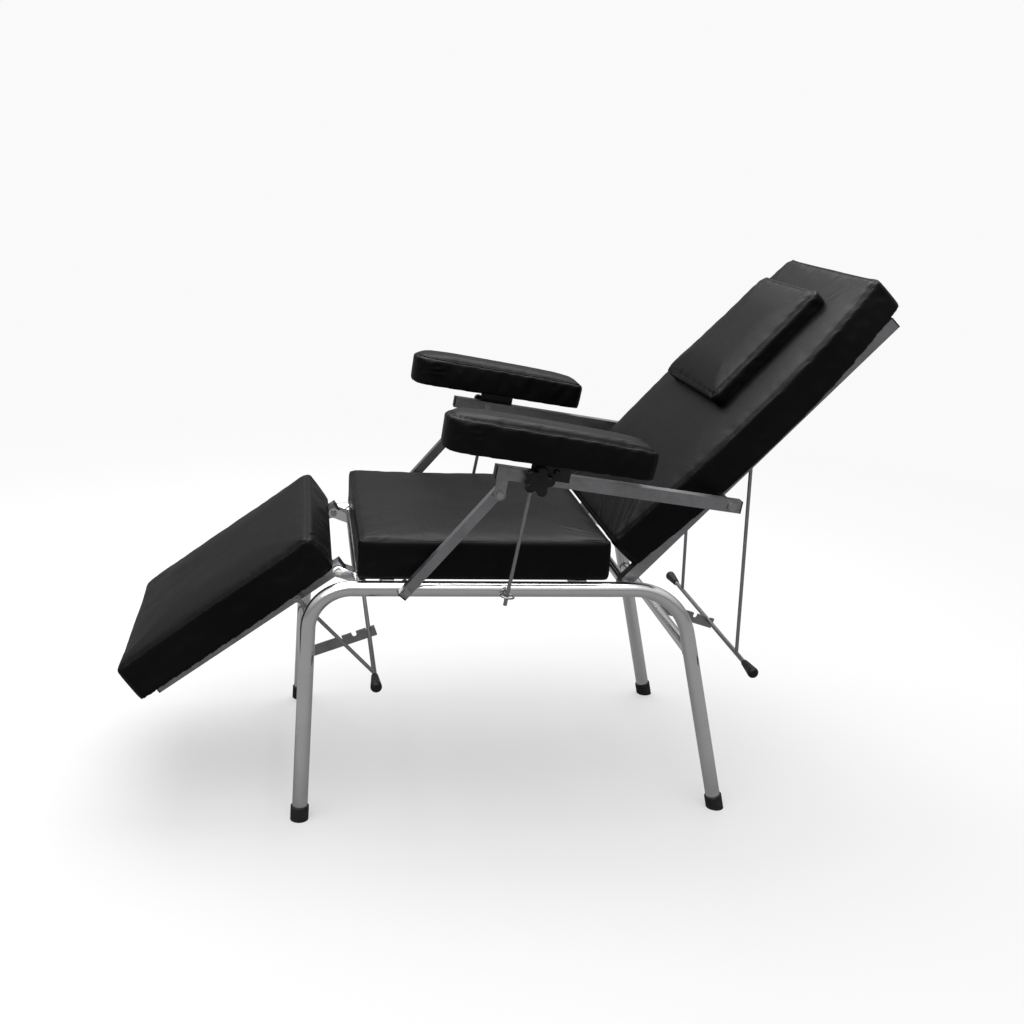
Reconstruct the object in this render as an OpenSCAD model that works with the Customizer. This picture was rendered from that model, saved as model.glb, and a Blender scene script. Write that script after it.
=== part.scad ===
// Reclining hospital chair on two bent-tube side frames.
// X runs from the leg rest to the head end, Y runs across and Z is up from the floor.
// Sizes are laid out from the middle of the seat and the rail, and the finished chair is shifted along X
// so that the origin lies on the floor under the middle of its box.

/* [Side frames] */
// Outside diameter of the bent tubes
tube_d = 32; // [28:1:34]
// Wall of the bent tubes
tube_wall = 2; // [1.5:0.5:3]
// Height of the rails' centre lines above the floor
rail_h = 506; // [490:1:530]
// Distance by which the rails' centre lines lie outside the seat cushion's sides
rail_beside = 1; // [0:0.5:8]
// Outward lean of each side frame, in degrees
splay = 1.98; // [0.5:0.01:3]
// Where the line of the front legs meets the rails
front_corner_x = -357; // [-370:1:-350]
// Where the line of the rear legs meets the rails
rear_corner_x = 414; // [405:1:425]
// Rake of the front legs, in degrees
front_rake = 1.4; // [0.5:0.1:4]
// Rake of the rear legs, in degrees
rear_rake = 14.1; // [12:0.1:16]
// Bend radius of the front corners
front_bend_r = 88; // [70:1:95]
// Bend radius of the rear corners
rear_bend_r = 130; // [110:1:140]

/* [Cross members] */
// Outside diameter of the round cross tubes
cross_d = 25; // [22:1:26]
// Depth of the front lower cross tube below the rails' centre lines
front_cross_down = 261; // [251:1:281]
// Depth of the rear lower cross tube below the rails' centre lines
rear_cross_down = 142; // [126:1:156]
// Place of the tube under the seat's front edge
seat_tube_x = -255; // [-258:1:-250]
// Side of the square tubes that carry the cushions
square_w = 25; // [22:1:26]
// Wall of the square tubes
square_wall = 2; // [1.5:0.5:3]
// Distance of the seat bearers from the middle of the seat
bearer_x = 200; // [190:1:205]

/* [Seat] */
// Front edge of the seat cushion
seat_front_x = -265; // [-270:1:-262]
// Length of the seat cushion
seat_len = 528; // [510:1:528]
// Width of the seat cushion
seat_w = 560; // [520:1:564]
// Thickness of the seat cushion at its crown
seat_t = 92; // [80:1:96]

/* [Leg rest] */
// Place of the leg rest's hinge line along the chair
leg_hinge_x = -298; // [-302:1:-296]
// Height of the leg rest's hinge line above the rails' centre lines
leg_hinge_up = 16; // [12:1:20]
// Slope of the leg rest below level, in degrees
leg_angle = 36; // [30:1:40]
// Length of the leg rest cushion
leg_len = 463; // [420:1:480]
// Distance by which the leg rest's sides lie inside the seat's sides
leg_inset = 18; // [17:1:30]
// Thickness of the leg rest cushion at its crown
leg_t = 92; // [80:1:96]

/* [Backrest] */
// Place of the backrest's hinge tube along the chair
back_hinge_x = 306; // [304:1:312]
// Depth of the backrest's hinge tube below the rails' centre lines
back_hinge_down = 4; // [2:1:8]
// Slope of the backrest above level, in degrees
back_angle = 47.5; // [40:0.5:47.5]
// Length of the backrest cushion
back_len = 761; // [720:1:780]
// Distance by which the backrest's sides lie inside the seat's sides
back_inset = 28; // [25:1:35]
// Thickness of the backrest cushion at its crown
back_t = 82; // [74:1:82]
// Length of the head pillow
pillow_len = 320; // [290:1:330]
// Width of the head pillow
pillow_w = 320; // [280:1:340]
// Thickness of the head pillow at its crown
pillow_t = 56; // [46:1:62]

/* [Arm rests] */
// Length of the arm pads
pad_len = 422; // [390:1:430]
// Width of the arm pads
pad_w = 114; // [100:1:120]
// Thickness of the arm pads at their crown
pad_t = 74; // [60:1:80]
// Slope of the arm bars, nose up, in degrees
arm_angle = 7.2; // [5:0.1:9]
// Diameter of the star knobs
knob_d = 62; // [54:1:66]

/* [Props] */
// Diameter of the catch rods
rod_d = 10; // [8:1:12]
// Place of the leg rest's catch rod along the chair
leg_rod_x = -219; // [-225:1:-205]
// Depth of the leg rest's catch rod below the rails' centre lines
leg_rod_down = 202; // [196:1:208]
// Place of the backrest's catch rod along the chair
back_rod_x = 586; // [575:1:595]
// Depth of the backrest's catch rod below the rails' centre lines
back_rod_down = 178; // [171:1:186]

/* [Hidden] */
$fn = 48;

// Clearances
fit = 0.05; // radial play of pins and sleeves
skin = 0.05; // air between welded or pressed curved faces
face_gap = 0.3; // air between a cushion and the frame of another part
slip = 0.4; // side play beside a moving link
over = 1; // overrun of every cut
bend_neck = 0.5; // by how much a tube is thinner in its bends
bend_lap = 1; // by how much a straight tube reaches into its bend

// Fasteners and small parts
pin_d = 8;
head_d = 14;
head_t = 5;
bush_wall = 3;
cap_t = 3;
plug_len = 10;
cap_play = 0.2;
lug_t = 4;
lug_r = 12;
link_waist = 1;

// Feet
foot_d = 38;
foot_len = 32;
foot_floor_t = 7;
foot_lip = 2;

// Cushion construction
board_t = 12;
board_margin = 24;
board_r = 20;
edge_r = 8;
draw_in = 5;
tuck_r = 5;
crown_h = 9;
crown_w = 62;
corner_r = 20;
top_corner_r = 24;
foot_sag_share = 0.1;
ring_corner_steps = 7;
tuck_steps = 2;
side_steps = 4;
edge_steps = 4;
crown_steps = 4;
round_steps = 5;
full_angle = 360;
right_angle = 90;

// Plan and height of the rails
rail_r = tube_d / 2;
rail_y = seat_w / 2 + rail_beside;
rail_top = rail_h + rail_r;
rail_out = rail_y + rail_r;
leg_drop = rail_h / cos(splay);
floor_slab = 2 * leg_drop;
front_cross_h = rail_h - front_cross_down;
rear_cross_h = rail_h - rear_cross_down;

// Leg rest layout, from its hinge line, X towards the seat
leg_under = 19.2;
leg_end_gap = 5.1;
leg_tube_in = 71;
leg_tube_y = rail_y - leg_tube_in;
leg_tube_tail = 17.5;
leg_tube_end_in = 24;
leg_bar_in = 70;
leg_prop_out = 32;
leg_prop_y = leg_tube_y + leg_prop_out;
leg_prop_along = 92;
leg_w = seat_w - 2 * leg_inset;

// Backrest layout, from its hinge line, X towards the head
back_under = 20.3;
back_end_gap = 40;
back_tube_in = 43;
back_tube_y = rail_y - back_tube_in;
back_tube_end_in = 26;
back_bar_in = 130;
back_prop_in = 33;
back_prop_y = back_tube_y - back_prop_in;
back_prop_along = 393;
back_w = seat_w - 2 * back_inset;
hinge_tube_d = 22;
hinge_tube_wall = 2;
sleeve_d = 33;
sleeve_len = 34;
pillow_end_in = 82;
pillow_recess = 0;

// Arm linkage, a parallelogram with the backrest
arm_pin_d = 12;
arm_pin_along = 270.2;
arm_pin_over = 13;
arm_span = 471;
arm_rise = 10;
bar_w = 25;
bar_tail = 19;
bar_len = 505;
strut_w = 20;
strut_end = 13;
clamp_x = -406.2;
stay_d = 8;
stay_eye_t = 5;
stay_eye_d = 20;
stay_tail = 20;
stay_ring_in = 24;
stay_ring_wire = 4;
stay_guide_x = 37;
rail_clear = 1;
stay_air = 0.6;
plate_t = 5;
plate_r = 12;
bracket_t = 3;
bracket_front = 16;
bracket_back = 64;
bracket_flange = 34;
rivet_d = 14;
rivet_h = 5;
rivet_back = 35;
rivet_up = 18.5;
pad_beside = 18;
pad_under = 36;
pad_nose = 190;
pad_board_margin = 14;
pad_droop_share = 0.13;
pad_nose_r = 50;
pad_tail_r = 26;
pad_board_r = 12;
pad_crown_w = 44;

// Star knob
knob_t = 20;
knob_lobes = 5;
knob_lobe_d = 20;
knob_hub_d = 40;
knob_collar_d = 24;
knob_collar_t = 6;
knob_round = 4;

// Prop frames and racks
prop_d = 8;
prop_eye_d = 16;
prop_eye_w = 10;
grip_in = 23;
grip_start = rail_y - grip_in;
grip_len = 60;
grip_d0 = 15;
grip_d1 = 24;
grip_end_r = 7;
grip_wall = 6;
rack_t = 6;
rack_w = 24;
rack_rod_up = 6;
rack_nose = 15;
rack_pitch = 34;
rack_notches = 3;

// Places in the side plane, each as [x, z]
leg_hinge = [leg_hinge_x, rail_h + leg_hinge_up];
back_hinge = [back_hinge_x, rail_h - back_hinge_down];
leg_rod = [leg_rod_x, rail_h - leg_rod_down];
back_rod = [back_rod_x, rail_h - back_rod_down];
arm_reach = turned([arm_pin_along, arm_pin_over], back_angle);
arm_pivot = back_hinge + arm_reach;
strut_foot = back_hinge + [-arm_span, arm_rise];
strut_top = strut_foot + arm_reach;
strut_angle = atan2(arm_reach.y, arm_reach.x);
clamp = arm_pivot + turned([clamp_x, 0], -arm_angle);
lug_point = turned(strut_top - arm_pivot, arm_angle);
guide = [stay_guide_x, rail_h];
stay_angle = atan2(clamp.y - guide.y, clamp.x - guide.x);
leg_prop_top = leg_hinge
    + turned([-leg_end_gap - leg_prop_along, leg_under - square_w / 2], leg_angle);
back_prop_top = back_hinge + turned([back_prop_along, back_under - square_w / 2], back_angle);
front_cross = [front_corner_x - (rail_h - front_cross_h) / cos(splay) * tan(front_rake), front_cross_h];
rear_cross = [rear_corner_x + (rail_h - rear_cross_h) / cos(splay) * tan(rear_rake), rear_cross_h];

// Layers across the arm linkage, from the rail outwards
strut_y = rail_out + rail_clear;
stay_y = strut_y + strut_w + stay_air + stay_d / 2;
bar_y = stay_y + stay_d / 2 + slip;
pad_y = bar_y + pad_beside;
bracket_y = bar_y + bar_w + slip;
knob_y = bracket_y + bracket_t + slip;

// Shift that centres the chair's box on the origin
back_frame_end = back_end_gap + back_len - back_tube_end_in;
leg_edge_h = leg_under + (leg_t - crown_h) * (1 - foot_sag_share) - edge_r / 2;
back_reach = back_hinge + turned([back_frame_end + cap_t, back_under - square_w], back_angle);
leg_reach = leg_hinge + turned([-leg_end_gap - leg_len, leg_edge_h], leg_angle);
centre_x = (back_reach.x + leg_reach.x) / 2;

function turned(p, a) = [p.x * cos(a) - p.y * sin(a), p.x * sin(a) + p.y * cos(a)];

// Rectangle with round corners as a counter-clockwise list, low-X corners of radius ra, high-X of rb
function outline(x0, x1, half_w, ra, rb) = [
    for (c = [[x1, half_w, rb, 0], [x0, half_w, ra, 1], [x0, -half_w, ra, 2], [x1, -half_w, rb, 3]])
        for (k = [0 : ring_corner_steps])
            [
                c.x + (c.x == x1 ? -c[2] : c[2]) + c[2] * cos(right_angle * (c[3] + k / ring_corner_steps)),
                c.y + (c.y > 0 ? -c[2] : c[2]) + c[2] * sin(right_angle * (c[3] + k / ring_corner_steps))
            ]
];

// Side profile of a cushion as [inset, height] pairs: tucked lower edge, swelling side,
// rounded upper edge and a crown that rises towards the middle
function profile(t, er, crown, cw) = concat(
    [
        for (k = [0 : tuck_steps])
            [
                draw_in + tuck_r * (1 - sin(right_angle * k / tuck_steps)),
                tuck_r * (1 - cos(right_angle * k / tuck_steps))
            ]
    ],
    [
        for (k = [1 : side_steps])
            [
                draw_in * (1 - sin(right_angle * k / side_steps)),
                tuck_r + (t - crown - er - tuck_r) * k / side_steps
            ]
    ],
    [
        for (k = [1 : edge_steps])
            [
                er * (1 - cos(right_angle * k / edge_steps)),
                t - crown - er + er * sin(right_angle * k / edge_steps)
            ]
    ],
    [
        for (k = [1 : crown_steps])
            [
                er + (cw - er) * k / crown_steps,
                t - crown + crown * sin(right_angle * k / crown_steps)
            ]
    ]
);

// Colours of the chair's materials
module chrome() color([0.78, 0.79, 0.8]) children();
module grey_steel() color([0.55, 0.56, 0.58]) children();
module vinyl() color([0.11, 0.11, 0.12]) children();
module black() color([0.06, 0.06, 0.06]) children();
module wood() color([0.72, 0.58, 0.42]) children();

// Moves a piece that is laid out in the side plane
module at(p, y = 0) translate([p.x, y, p.y]) children();
module pitched(a) rotate([0, -a, 0]) children();
module along_y(d, y0, y1) translate([0, y0, 0]) rotate([-90, 0, 0]) cylinder(d = d, h = y1 - y0);
module along_x(d, x0, x1) translate([x0, 0, 0]) rotate([0, 90, 0]) cylinder(d = d, h = x1 - x0);
module both_sides() {
    children();
    mirror([0, 1, 0]) children();
}
module left_side() mirror([0, 1, 0]) children();
module leg_frame_place() at(leg_hinge) pitched(leg_angle) children();
module back_frame_place() at(back_hinge) pitched(back_angle) children();
module bar_place() at(arm_pivot) pitched(-arm_angle) children();
module centred() translate([-centre_x, 0, 0]) children();

// Square tube along X with its middle line on the X axis
module square_tube(x0, x1, y, w, wall) {
    translate([x0, y - w / 2, -w / 2]) difference() {
        cube([x1 - x0, w, w]);
        translate([-over, wall, wall]) cube([x1 - x0 + 2 * over, w - 2 * wall, w - 2 * wall]);
    }
}

// Plastic plug that closes the end of a square tube, pointing to +X
module end_cap(w, wall) {
    translate([0, -w / 2, -w / 2]) cube([cap_t, w, w]);
    plug_w = w - 2 * wall - 2 * cap_play;
    translate([-plug_len, -plug_w / 2, -plug_w / 2]) cube([plug_len + cap_t / 2, plug_w, plug_w]);
}

// Plain lid for an end where a bush fills the tube behind it
module end_lid(w) translate([0, -w / 2, -w / 2]) cube([cap_t, w, w]);

// Flat link between two points of the side plane, with round ends
module link(p, q, r, y0, y1) {
    a = atan2(q.y - p.y, q.x - p.x);
    at(p) along_y(2 * r, y0, y1);
    at(q) along_y(2 * r, y0, y1);
    at(p) pitched(a) translate([0, y0, -r + link_waist]) cube([norm(q - p), y1 - y0, 2 * (r - link_waist)]);
}

// Cushion lofted through rings. It lies on Z = 0 from X = 0 to len, with a recess for its board below.
// The upper side sinks by sag_share towards X = 0, and by tail_share towards X = len.
module cushion(len, w, t, ra, rb, margin, board_r, recess, crown, cw, sag_share, tail_share) {
    sides = profile(t, edge_r, crown, cw);
    skirt = [for (s = sides) [s.x, s.y, max(ra - s.x, edge_r / 2), max(rb - s.x, edge_r / 2)]];
    near = max(ra - margin, board_r);
    far = max(rb - margin, board_r);
    inner = recess > 0 ? [[margin, recess, near, far], [margin, 0, near, far]] : [];
    rings = concat(inner, skirt);
    loops = [for (r = rings) outline(r.x, len - r.x, w / 2 - r.x, r[2], r[3])];
    count = len(loops[0]);
    last = len(rings) - 1;
    first = len(inner);
    solid_points = [
        for (j = [0 : last])
            for (p = loops[j])
                [p.x, p.y, j < first ? rings[j].y
                    : rings[j].y * sag(p.x / len, rings[j].y / t, sag_share, tail_share)]
    ];
    walls = [
        for (j = [0 : last - 1])
            for (i = [0 : count - 1])
                let (a = j * count + i, b = j * count + (i + 1) % count)
                    each [[a, a + count, b + count], [a, b + count, b]]
    ];
    under = [for (i = [0 : count - 1]) i];
    crown_face = [for (i = [count - 1 : -1 : 0]) last * count + i];
    polyhedron(points = solid_points, faces = concat(walls, [under, crown_face]));
}

function sag(s, level, near_share, far_share) =
    1 - level * (near_share * pow(1 - s, 4) + far_share * pow(s, 3));

// Board that fills a cushion's recess
module cushion_board(len, w, ra, rb, margin, r, t) {
    edge = margin + cap_play;
    near = max(ra - margin, r) - cap_play;
    far = max(rb - margin, r) - cap_play;
    linear_extrude(height = t - cap_play) polygon(outline(edge, len - edge, w / 2 - edge, near, far));
}

// One bent side frame on the +Y side as a solid rod of diameter d that ends foot_gap above the floor
module side_path(d, foot_gap) {
    front_run = front_bend_r * tan((right_angle - front_rake) / 2);
    rear_run = rear_bend_r * tan((right_angle - rear_rake) / 2);
    front_len = (leg_drop - foot_gap) / cos(front_rake) - front_run;
    rear_len = (leg_drop - foot_gap) / cos(rear_rake) - rear_run;
    translate([0, rail_y, rail_h]) rotate([splay, 0, 0]) {
        rail_x = front_corner_x + front_run;
        translate([rail_x - bend_lap, 0, 0]) rotate([0, 90, 0])
            cylinder(d = d, h = rear_corner_x - rear_run - rail_x + 2 * bend_lap);
        translate([rail_x, 0, -front_bend_r]) rotate([90, 0, 0]) rotate([0, 0, right_angle])
            rotate_extrude(angle = right_angle - front_rake)
                translate([front_bend_r, 0]) circle(d = d - bend_neck);
        translate([rear_corner_x - rear_run, 0, -rear_bend_r]) rotate([90, 0, 0]) rotate([0, 0, rear_rake])
            rotate_extrude(angle = right_angle - rear_rake)
                translate([rear_bend_r, 0]) circle(d = d - bend_neck);
        translate([front_corner_x, 0, 0]) rotate([0, 180 + front_rake, 0])
            translate([0, 0, front_run - bend_lap]) cylinder(d = d, h = front_len + bend_lap);
        translate([rear_corner_x, 0, 0]) rotate([0, 180 - rear_rake, 0])
            translate([0, 0, rear_run - bend_lap]) cylinder(d = d, h = rear_len + bend_lap);
    }
}

module side_frame() {
    difference() {
        side_path(tube_d, foot_floor_t);
        side_path(tube_d - 2 * tube_wall, 0);
        at(strut_foot) along_y(pin_d + 2 * fit, rail_y - tube_d, rail_out + over);
        at(guide) along_y(pin_d + 2 * fit, rail_y, rail_out + over);
    }
}

// Rubber foot on the end of a leg, revolved about the leg's axis and cut off level with the floor
module foot(corner_x, lean) {
    foot_reach = leg_drop / cos(lean);
    difference() {
        translate([0, rail_y, rail_h]) rotate([splay, 0, 0]) translate([corner_x, 0, 0])
            rotate([0, 180 + (corner_x < 0 ? lean : -lean), 0])
                rotate_extrude() foot_section(foot_reach);
        translate([-floor_slab, 0, -floor_slab]) cube([2 * floor_slab, floor_slab, floor_slab]);
    }
}

module foot_section(floor_at) {
    bore_r = rail_r + skin;
    polygon([
        [bore_r, floor_at - foot_len],
        [foot_d / 2 - foot_lip, floor_at - foot_len],
        [foot_d / 2, floor_at - foot_len + foot_lip],
        [foot_d / 2, floor_at + foot_d],
        [0, floor_at + foot_d],
        [0, floor_at - foot_floor_t + skin],
        [bore_r, floor_at - foot_floor_t + skin]
    ]);
}

// Round cross tube between the side frames, with its ends shaped to fit against them
module cross_tube(p, d, wall) {
    half = rail_y + (rail_h - p.y) * tan(splay);
    difference() {
        at(p) along_y(d, -half, half);
        at(p) along_y(d - 2 * wall, -half - over, half + over);
        children();
    }
}

// Space taken by the rails, and by the legs of one end
module rail_space() {
    both_sides() at([0, rail_h], rail_y) along_x(tube_d + 2 * skin, front_corner_x, rear_corner_x);
}

module leg_space(corner_x, lean) {
    both_sides() translate([0, rail_y, rail_h]) rotate([splay, 0, 0]) translate([corner_x, 0, 0])
        rotate([0, 180 + (corner_x < 0 ? lean : -lean), 0]) cylinder(d = tube_d + 2 * skin, h = leg_drop);
}

module seat_front_tube() {
    chrome() {
        cross_tube([seat_tube_x, rail_h], cross_d, tube_wall) rail_space();
        lug_in = leg_tube_y - square_w / 2 - slip;
        lug_out = leg_tube_y + square_w / 2 + slip;
        both_sides() {
            hinge_lug(lug_in - lug_t, lug_in);
            hinge_lug(lug_out, lug_out + lug_t);
        }
    }
}

module hinge_lug(y0, y1) {
    difference() {
        link([seat_tube_x, rail_h], leg_hinge, lug_r, y0, y1);
        at([seat_tube_x, rail_h]) along_y(cross_d - tube_wall, y0 - over, y1 + over);
        at(leg_hinge) along_y(pin_d + 2 * fit, y0 - over, y1 + over);
    }
}

module leg_hinge_bolts() {
    reach = square_w / 2 + slip + lug_t;
    grey_steel() both_sides() at(leg_hinge, leg_tube_y) {
        along_y(pin_d, -reach - head_t / 2, reach + head_t / 2);
        along_y(head_d, reach, reach + head_t);
        along_y(head_d, -reach - head_t, -reach);
    }
}

module seat_bearer(x) {
    grey_steel() difference() {
        translate([x, 0, rail_top - square_w / 2]) rotate([0, 0, right_angle])
            square_tube(-rail_y + rail_r / 2, rail_y - rail_r / 2, 0, square_w, square_wall);
        rail_space();
    }
}

module backrest_hinge_tube() {
    chrome() cross_tube(back_hinge, hinge_tube_d, hinge_tube_wall) rail_space();
}

module front_cross_tube() {
    chrome() cross_tube(front_cross, cross_d, tube_wall) leg_space(front_corner_x, front_rake);
}

module rear_cross_tube() {
    chrome() cross_tube(rear_cross, cross_d, tube_wall) leg_space(rear_corner_x, rear_rake);
}

// Flat bar on edge that runs from a cross tube to its catch rod, with notches in the upper edge
module rack(tube_at, rod_at) {
    reach = norm(rod_at - tube_at);
    line = atan2(rod_at.y - tube_at.y, rod_at.x - tube_at.x) - asin(rack_rod_up / reach);
    run = sqrt(reach * reach - rack_rod_up * rack_rod_up);
    notch_d = rod_d + 2 * face_gap;
    grey_steel() at(tube_at) pitched(line) difference() {
        translate([0, -rack_t / 2, -rack_w / 2]) cube([run + rack_nose, rack_t, rack_w]);
        along_y(cross_d + 2 * skin, -rack_t, rack_t);
        for (k = [0 : rack_notches - 1]) {
            translate([run - k * rack_pitch, 0, rack_rod_up]) {
                along_y(notch_d, -rack_t, rack_t);
                translate([-notch_d / 2, -rack_t, 0]) cube([notch_d, 2 * rack_t, rack_w]);
            }
        }
    }
}

module seat_board() {
    wood() translate([seat_front_x, 0, rail_top])
        cushion_board(seat_len, seat_w, corner_r, corner_r, board_margin, board_r, board_t);
}

module seat_cushion() {
    vinyl() translate([seat_front_x, 0, rail_top])
        cushion(seat_len, seat_w, seat_t, corner_r, corner_r, board_margin, board_r, board_t,
            crown_h, crown_w, 0, 0);
}

module strut_foot_bolts() {
    inner = rail_y - rail_r;
    outer = strut_y + strut_w + slip;
    grey_steel() both_sides() at(strut_foot) {
        along_y(pin_d, inner - head_t, outer + head_t / 2);
        along_y(head_d, outer, outer + head_t);
        difference() {
            along_y(head_d, rail_y, strut_y - slip);
            at([0, rail_h - strut_foot.y], rail_y) along_x(tube_d + 2 * skin, -head_d, head_d);
        }
        difference() {
            along_y(head_d, inner - head_t, rail_y);
            at([0, rail_h - strut_foot.y], rail_y) along_x(tube_d + 2 * skin, -head_d, head_d);
        }
    }
}

// Leg rest
module leg_rest_frame() {
    tube_z = leg_under - square_w / 2;
    foot_x = -leg_end_gap - leg_len + leg_tube_end_in;
    bar_xs = [-leg_end_gap - leg_bar_in, -leg_end_gap - leg_len + leg_bar_in];
    bush_d = pin_d + 2 * bush_wall;
    grey_steel() leg_frame_place() {
        both_sides() {
            difference() {
                union() {
                    translate([0, 0, tube_z])
                        square_tube(foot_x, leg_tube_tail - leg_end_gap, leg_tube_y, square_w, square_wall);
                    along_y(bush_d, leg_tube_y - square_w / 2, leg_tube_y + square_w / 2);
                }
                along_y(pin_d + 2 * fit, leg_tube_y - square_w, leg_tube_y + square_w);
            }
            translate([-leg_end_gap - leg_prop_along, 0, tube_z])
                along_y(pin_d, leg_tube_y + square_w / 2, leg_prop_y + prop_eye_d / 2);
        }
        for (x = bar_xs)
            translate([x, 0, leg_under - strut_w / 2]) rotate([0, 0, right_angle])
                square_tube(-leg_tube_y + square_w / 2, leg_tube_y - square_w / 2, 0, strut_w, square_wall);
    }
}

module leg_frame_caps() {
    tube_z = leg_under - square_w / 2;
    foot_x = -leg_end_gap - leg_len + leg_tube_end_in;
    black() leg_frame_place() both_sides() {
        translate([leg_tube_tail - leg_end_gap, leg_tube_y, tube_z]) end_lid(square_w);
        translate([foot_x, leg_tube_y, tube_z]) rotate([0, 0, 180]) end_cap(square_w, square_wall);
    }
}

module leg_rest_board() {
    wood() leg_frame_place() translate([-leg_end_gap - leg_len, 0, leg_under])
        cushion_board(leg_len, leg_w, top_corner_r, corner_r, board_margin, board_r, board_t);
}

module leg_rest_cushion() {
    vinyl() leg_frame_place() translate([-leg_end_gap - leg_len, 0, leg_under])
        cushion(leg_len, leg_w, leg_t, top_corner_r, corner_r, board_margin, board_r, board_t,
            crown_h, crown_w, foot_sag_share, 0);
}

// Two struts that hang from pivot pins and carry the catch rod between the hand grips
module prop_frame(top, rod, strut_y0) {
    reach = norm(rod - top);
    lean = atan2(rod.y - top.y, rod.x - top.x);
    grey_steel() {
        at(rod) along_y(rod_d, -grip_start - grip_len + grip_wall, grip_start + grip_len - grip_wall);
        both_sides() difference() {
            union() {
                at(top) along_y(prop_eye_d, strut_y0 - prop_eye_w / 2, strut_y0 + prop_eye_w / 2);
                at(top, strut_y0) pitched(lean) along_x(prop_d, (pin_d + bush_wall) / 2, reach);
            }
            at(top) along_y(pin_d + 2 * fit, strut_y0 - prop_eye_w, strut_y0 + prop_eye_w);
        }
    }
}

module prop_grips(rod) {
    black() both_sides() at(rod) translate([0, grip_start, 0]) rotate([-90, 0, 0]) difference() {
        rotate_extrude() grip_section();
        translate([0, 0, -over]) cylinder(d = rod_d + 2 * skin, h = grip_len - grip_wall + over);
    }
}

module grip_section() {
    straight = grip_len - grip_end_r;
    polygon(concat(
        [[0, 0], [grip_d0 / 2, 0]],
        [
            for (k = [0 : round_steps])
                [
                    grip_d1 / 2 - grip_end_r * (1 - cos(right_angle * k / round_steps)),
                    straight + grip_end_r * sin(right_angle * k / round_steps)
                ]
        ],
        [[0, grip_len]]
    ));
}

// Backrest
module back_frame() {
    tube_z = back_under - square_w / 2;
    bar_xs = [back_end_gap + back_bar_in, back_end_gap + back_len - back_bar_in];
    bar_half = back_tube_y - square_w / 2;
    grey_steel() back_frame_place() {
        both_sides() {
            difference() {
                union() {
                    translate([0, 0, tube_z])
                        square_tube(0, back_frame_end, back_tube_y, square_w, square_wall);
                    along_y(sleeve_d, back_tube_y - sleeve_len / 2, back_tube_y + sleeve_len / 2);
                }
                along_y(hinge_tube_d + 2 * fit, back_tube_y - sleeve_len, back_tube_y + sleeve_len);
            }
            translate([back_prop_along, 0, tube_z])
                along_y(pin_d, back_prop_y - prop_eye_d / 2, back_tube_y - square_w / 2);
        }
        for (x = bar_xs)
            translate([x, 0, back_under - strut_w / 2]) rotate([0, 0, right_angle])
                square_tube(-bar_half, bar_half, 0, strut_w, square_wall);
    }
}

module back_frame_caps() {
    black() back_frame_place() both_sides()
        translate([back_frame_end, back_tube_y, back_under - square_w / 2]) end_cap(square_w, square_wall);
}

module back_board() {
    wood() back_frame_place() translate([back_end_gap, 0, back_under])
        cushion_board(back_len, back_w, corner_r, top_corner_r, board_margin, board_r, board_t);
}

module back_cushion() {
    vinyl() back_frame_place() translate([back_end_gap, 0, back_under])
        cushion(back_len, back_w, back_t, corner_r, top_corner_r, board_margin, board_r, board_t,
            crown_h, crown_w, 0, 0);
}

module head_pillow() {
    pillow_x = back_end_gap + back_len - pillow_end_in - pillow_len;
    vinyl() back_frame_place() translate([pillow_x, 0, back_under + back_t])
        cushion(pillow_len, pillow_w, pillow_t, corner_r, corner_r, board_margin, board_r, pillow_recess,
            crown_h, crown_w, 0, 0);
}

module arm_pivot_pin() {
    outer = bar_y + bar_w + slip;
    grey_steel() back_frame_place() translate([arm_pin_along, 0, arm_pin_over]) {
        along_y(arm_pin_d, back_tube_y + square_w / 2, outer + head_t / 2);
        along_y(arm_pin_d + 2 * bush_wall, back_tube_y + square_w / 2, bar_y - slip);
        along_y(arm_pin_d + 2 * bush_wall, outer, outer + head_t);
    }
}

// Arm linkage, all on the +Y side
module arm_bar() {
    bar_x0 = bar_tail - bar_len;
    grey_steel() bar_place() difference() {
        union() {
            square_tube(bar_x0, bar_tail, bar_y + bar_w / 2, bar_w, square_wall);
            along_y(arm_pin_d + 2 * bush_wall, bar_y, bar_y + bar_w);
            at([clamp_x, 0]) along_y(pin_d + 2 * bush_wall, bar_y, bar_y + bar_w);
            at(lug_point) along_y(2 * plate_r, bar_y, bar_y + plate_t);
            translate([lug_point.x - plate_r + link_waist, bar_y, lug_point.y])
                cube([2 * (plate_r - link_waist), plate_t, -lug_point.y - bar_w / 2 + square_wall / 2]);
        }
        along_y(arm_pin_d + 2 * fit, bar_y - over, bar_y + bar_w + over);
        at([clamp_x, 0]) along_y(pin_d + 2 * fit, bar_y - over, bar_y + bar_w + over);
        at(lug_point) along_y(pin_d + 2 * skin, bar_y - over, bar_y + plate_t + over);
    }
}

module arm_bar_caps() {
    black() bar_place() translate([0, bar_y + bar_w / 2, 0]) {
        translate([bar_tail, 0, 0]) end_lid(bar_w);
        translate([bar_tail - bar_len, 0, 0]) rotate([0, 0, 180]) end_cap(bar_w, square_wall);
    }
}

module strut_top_bolt() {
    inner = strut_y - slip;
    outer = bar_y + plate_t;
    grey_steel() at(strut_top) {
        along_y(pin_d, inner - head_t / 2, outer + head_t / 2);
        along_y(head_d, outer, outer + head_t);
        along_y(head_d, inner - head_t, inner);
    }
}

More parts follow.
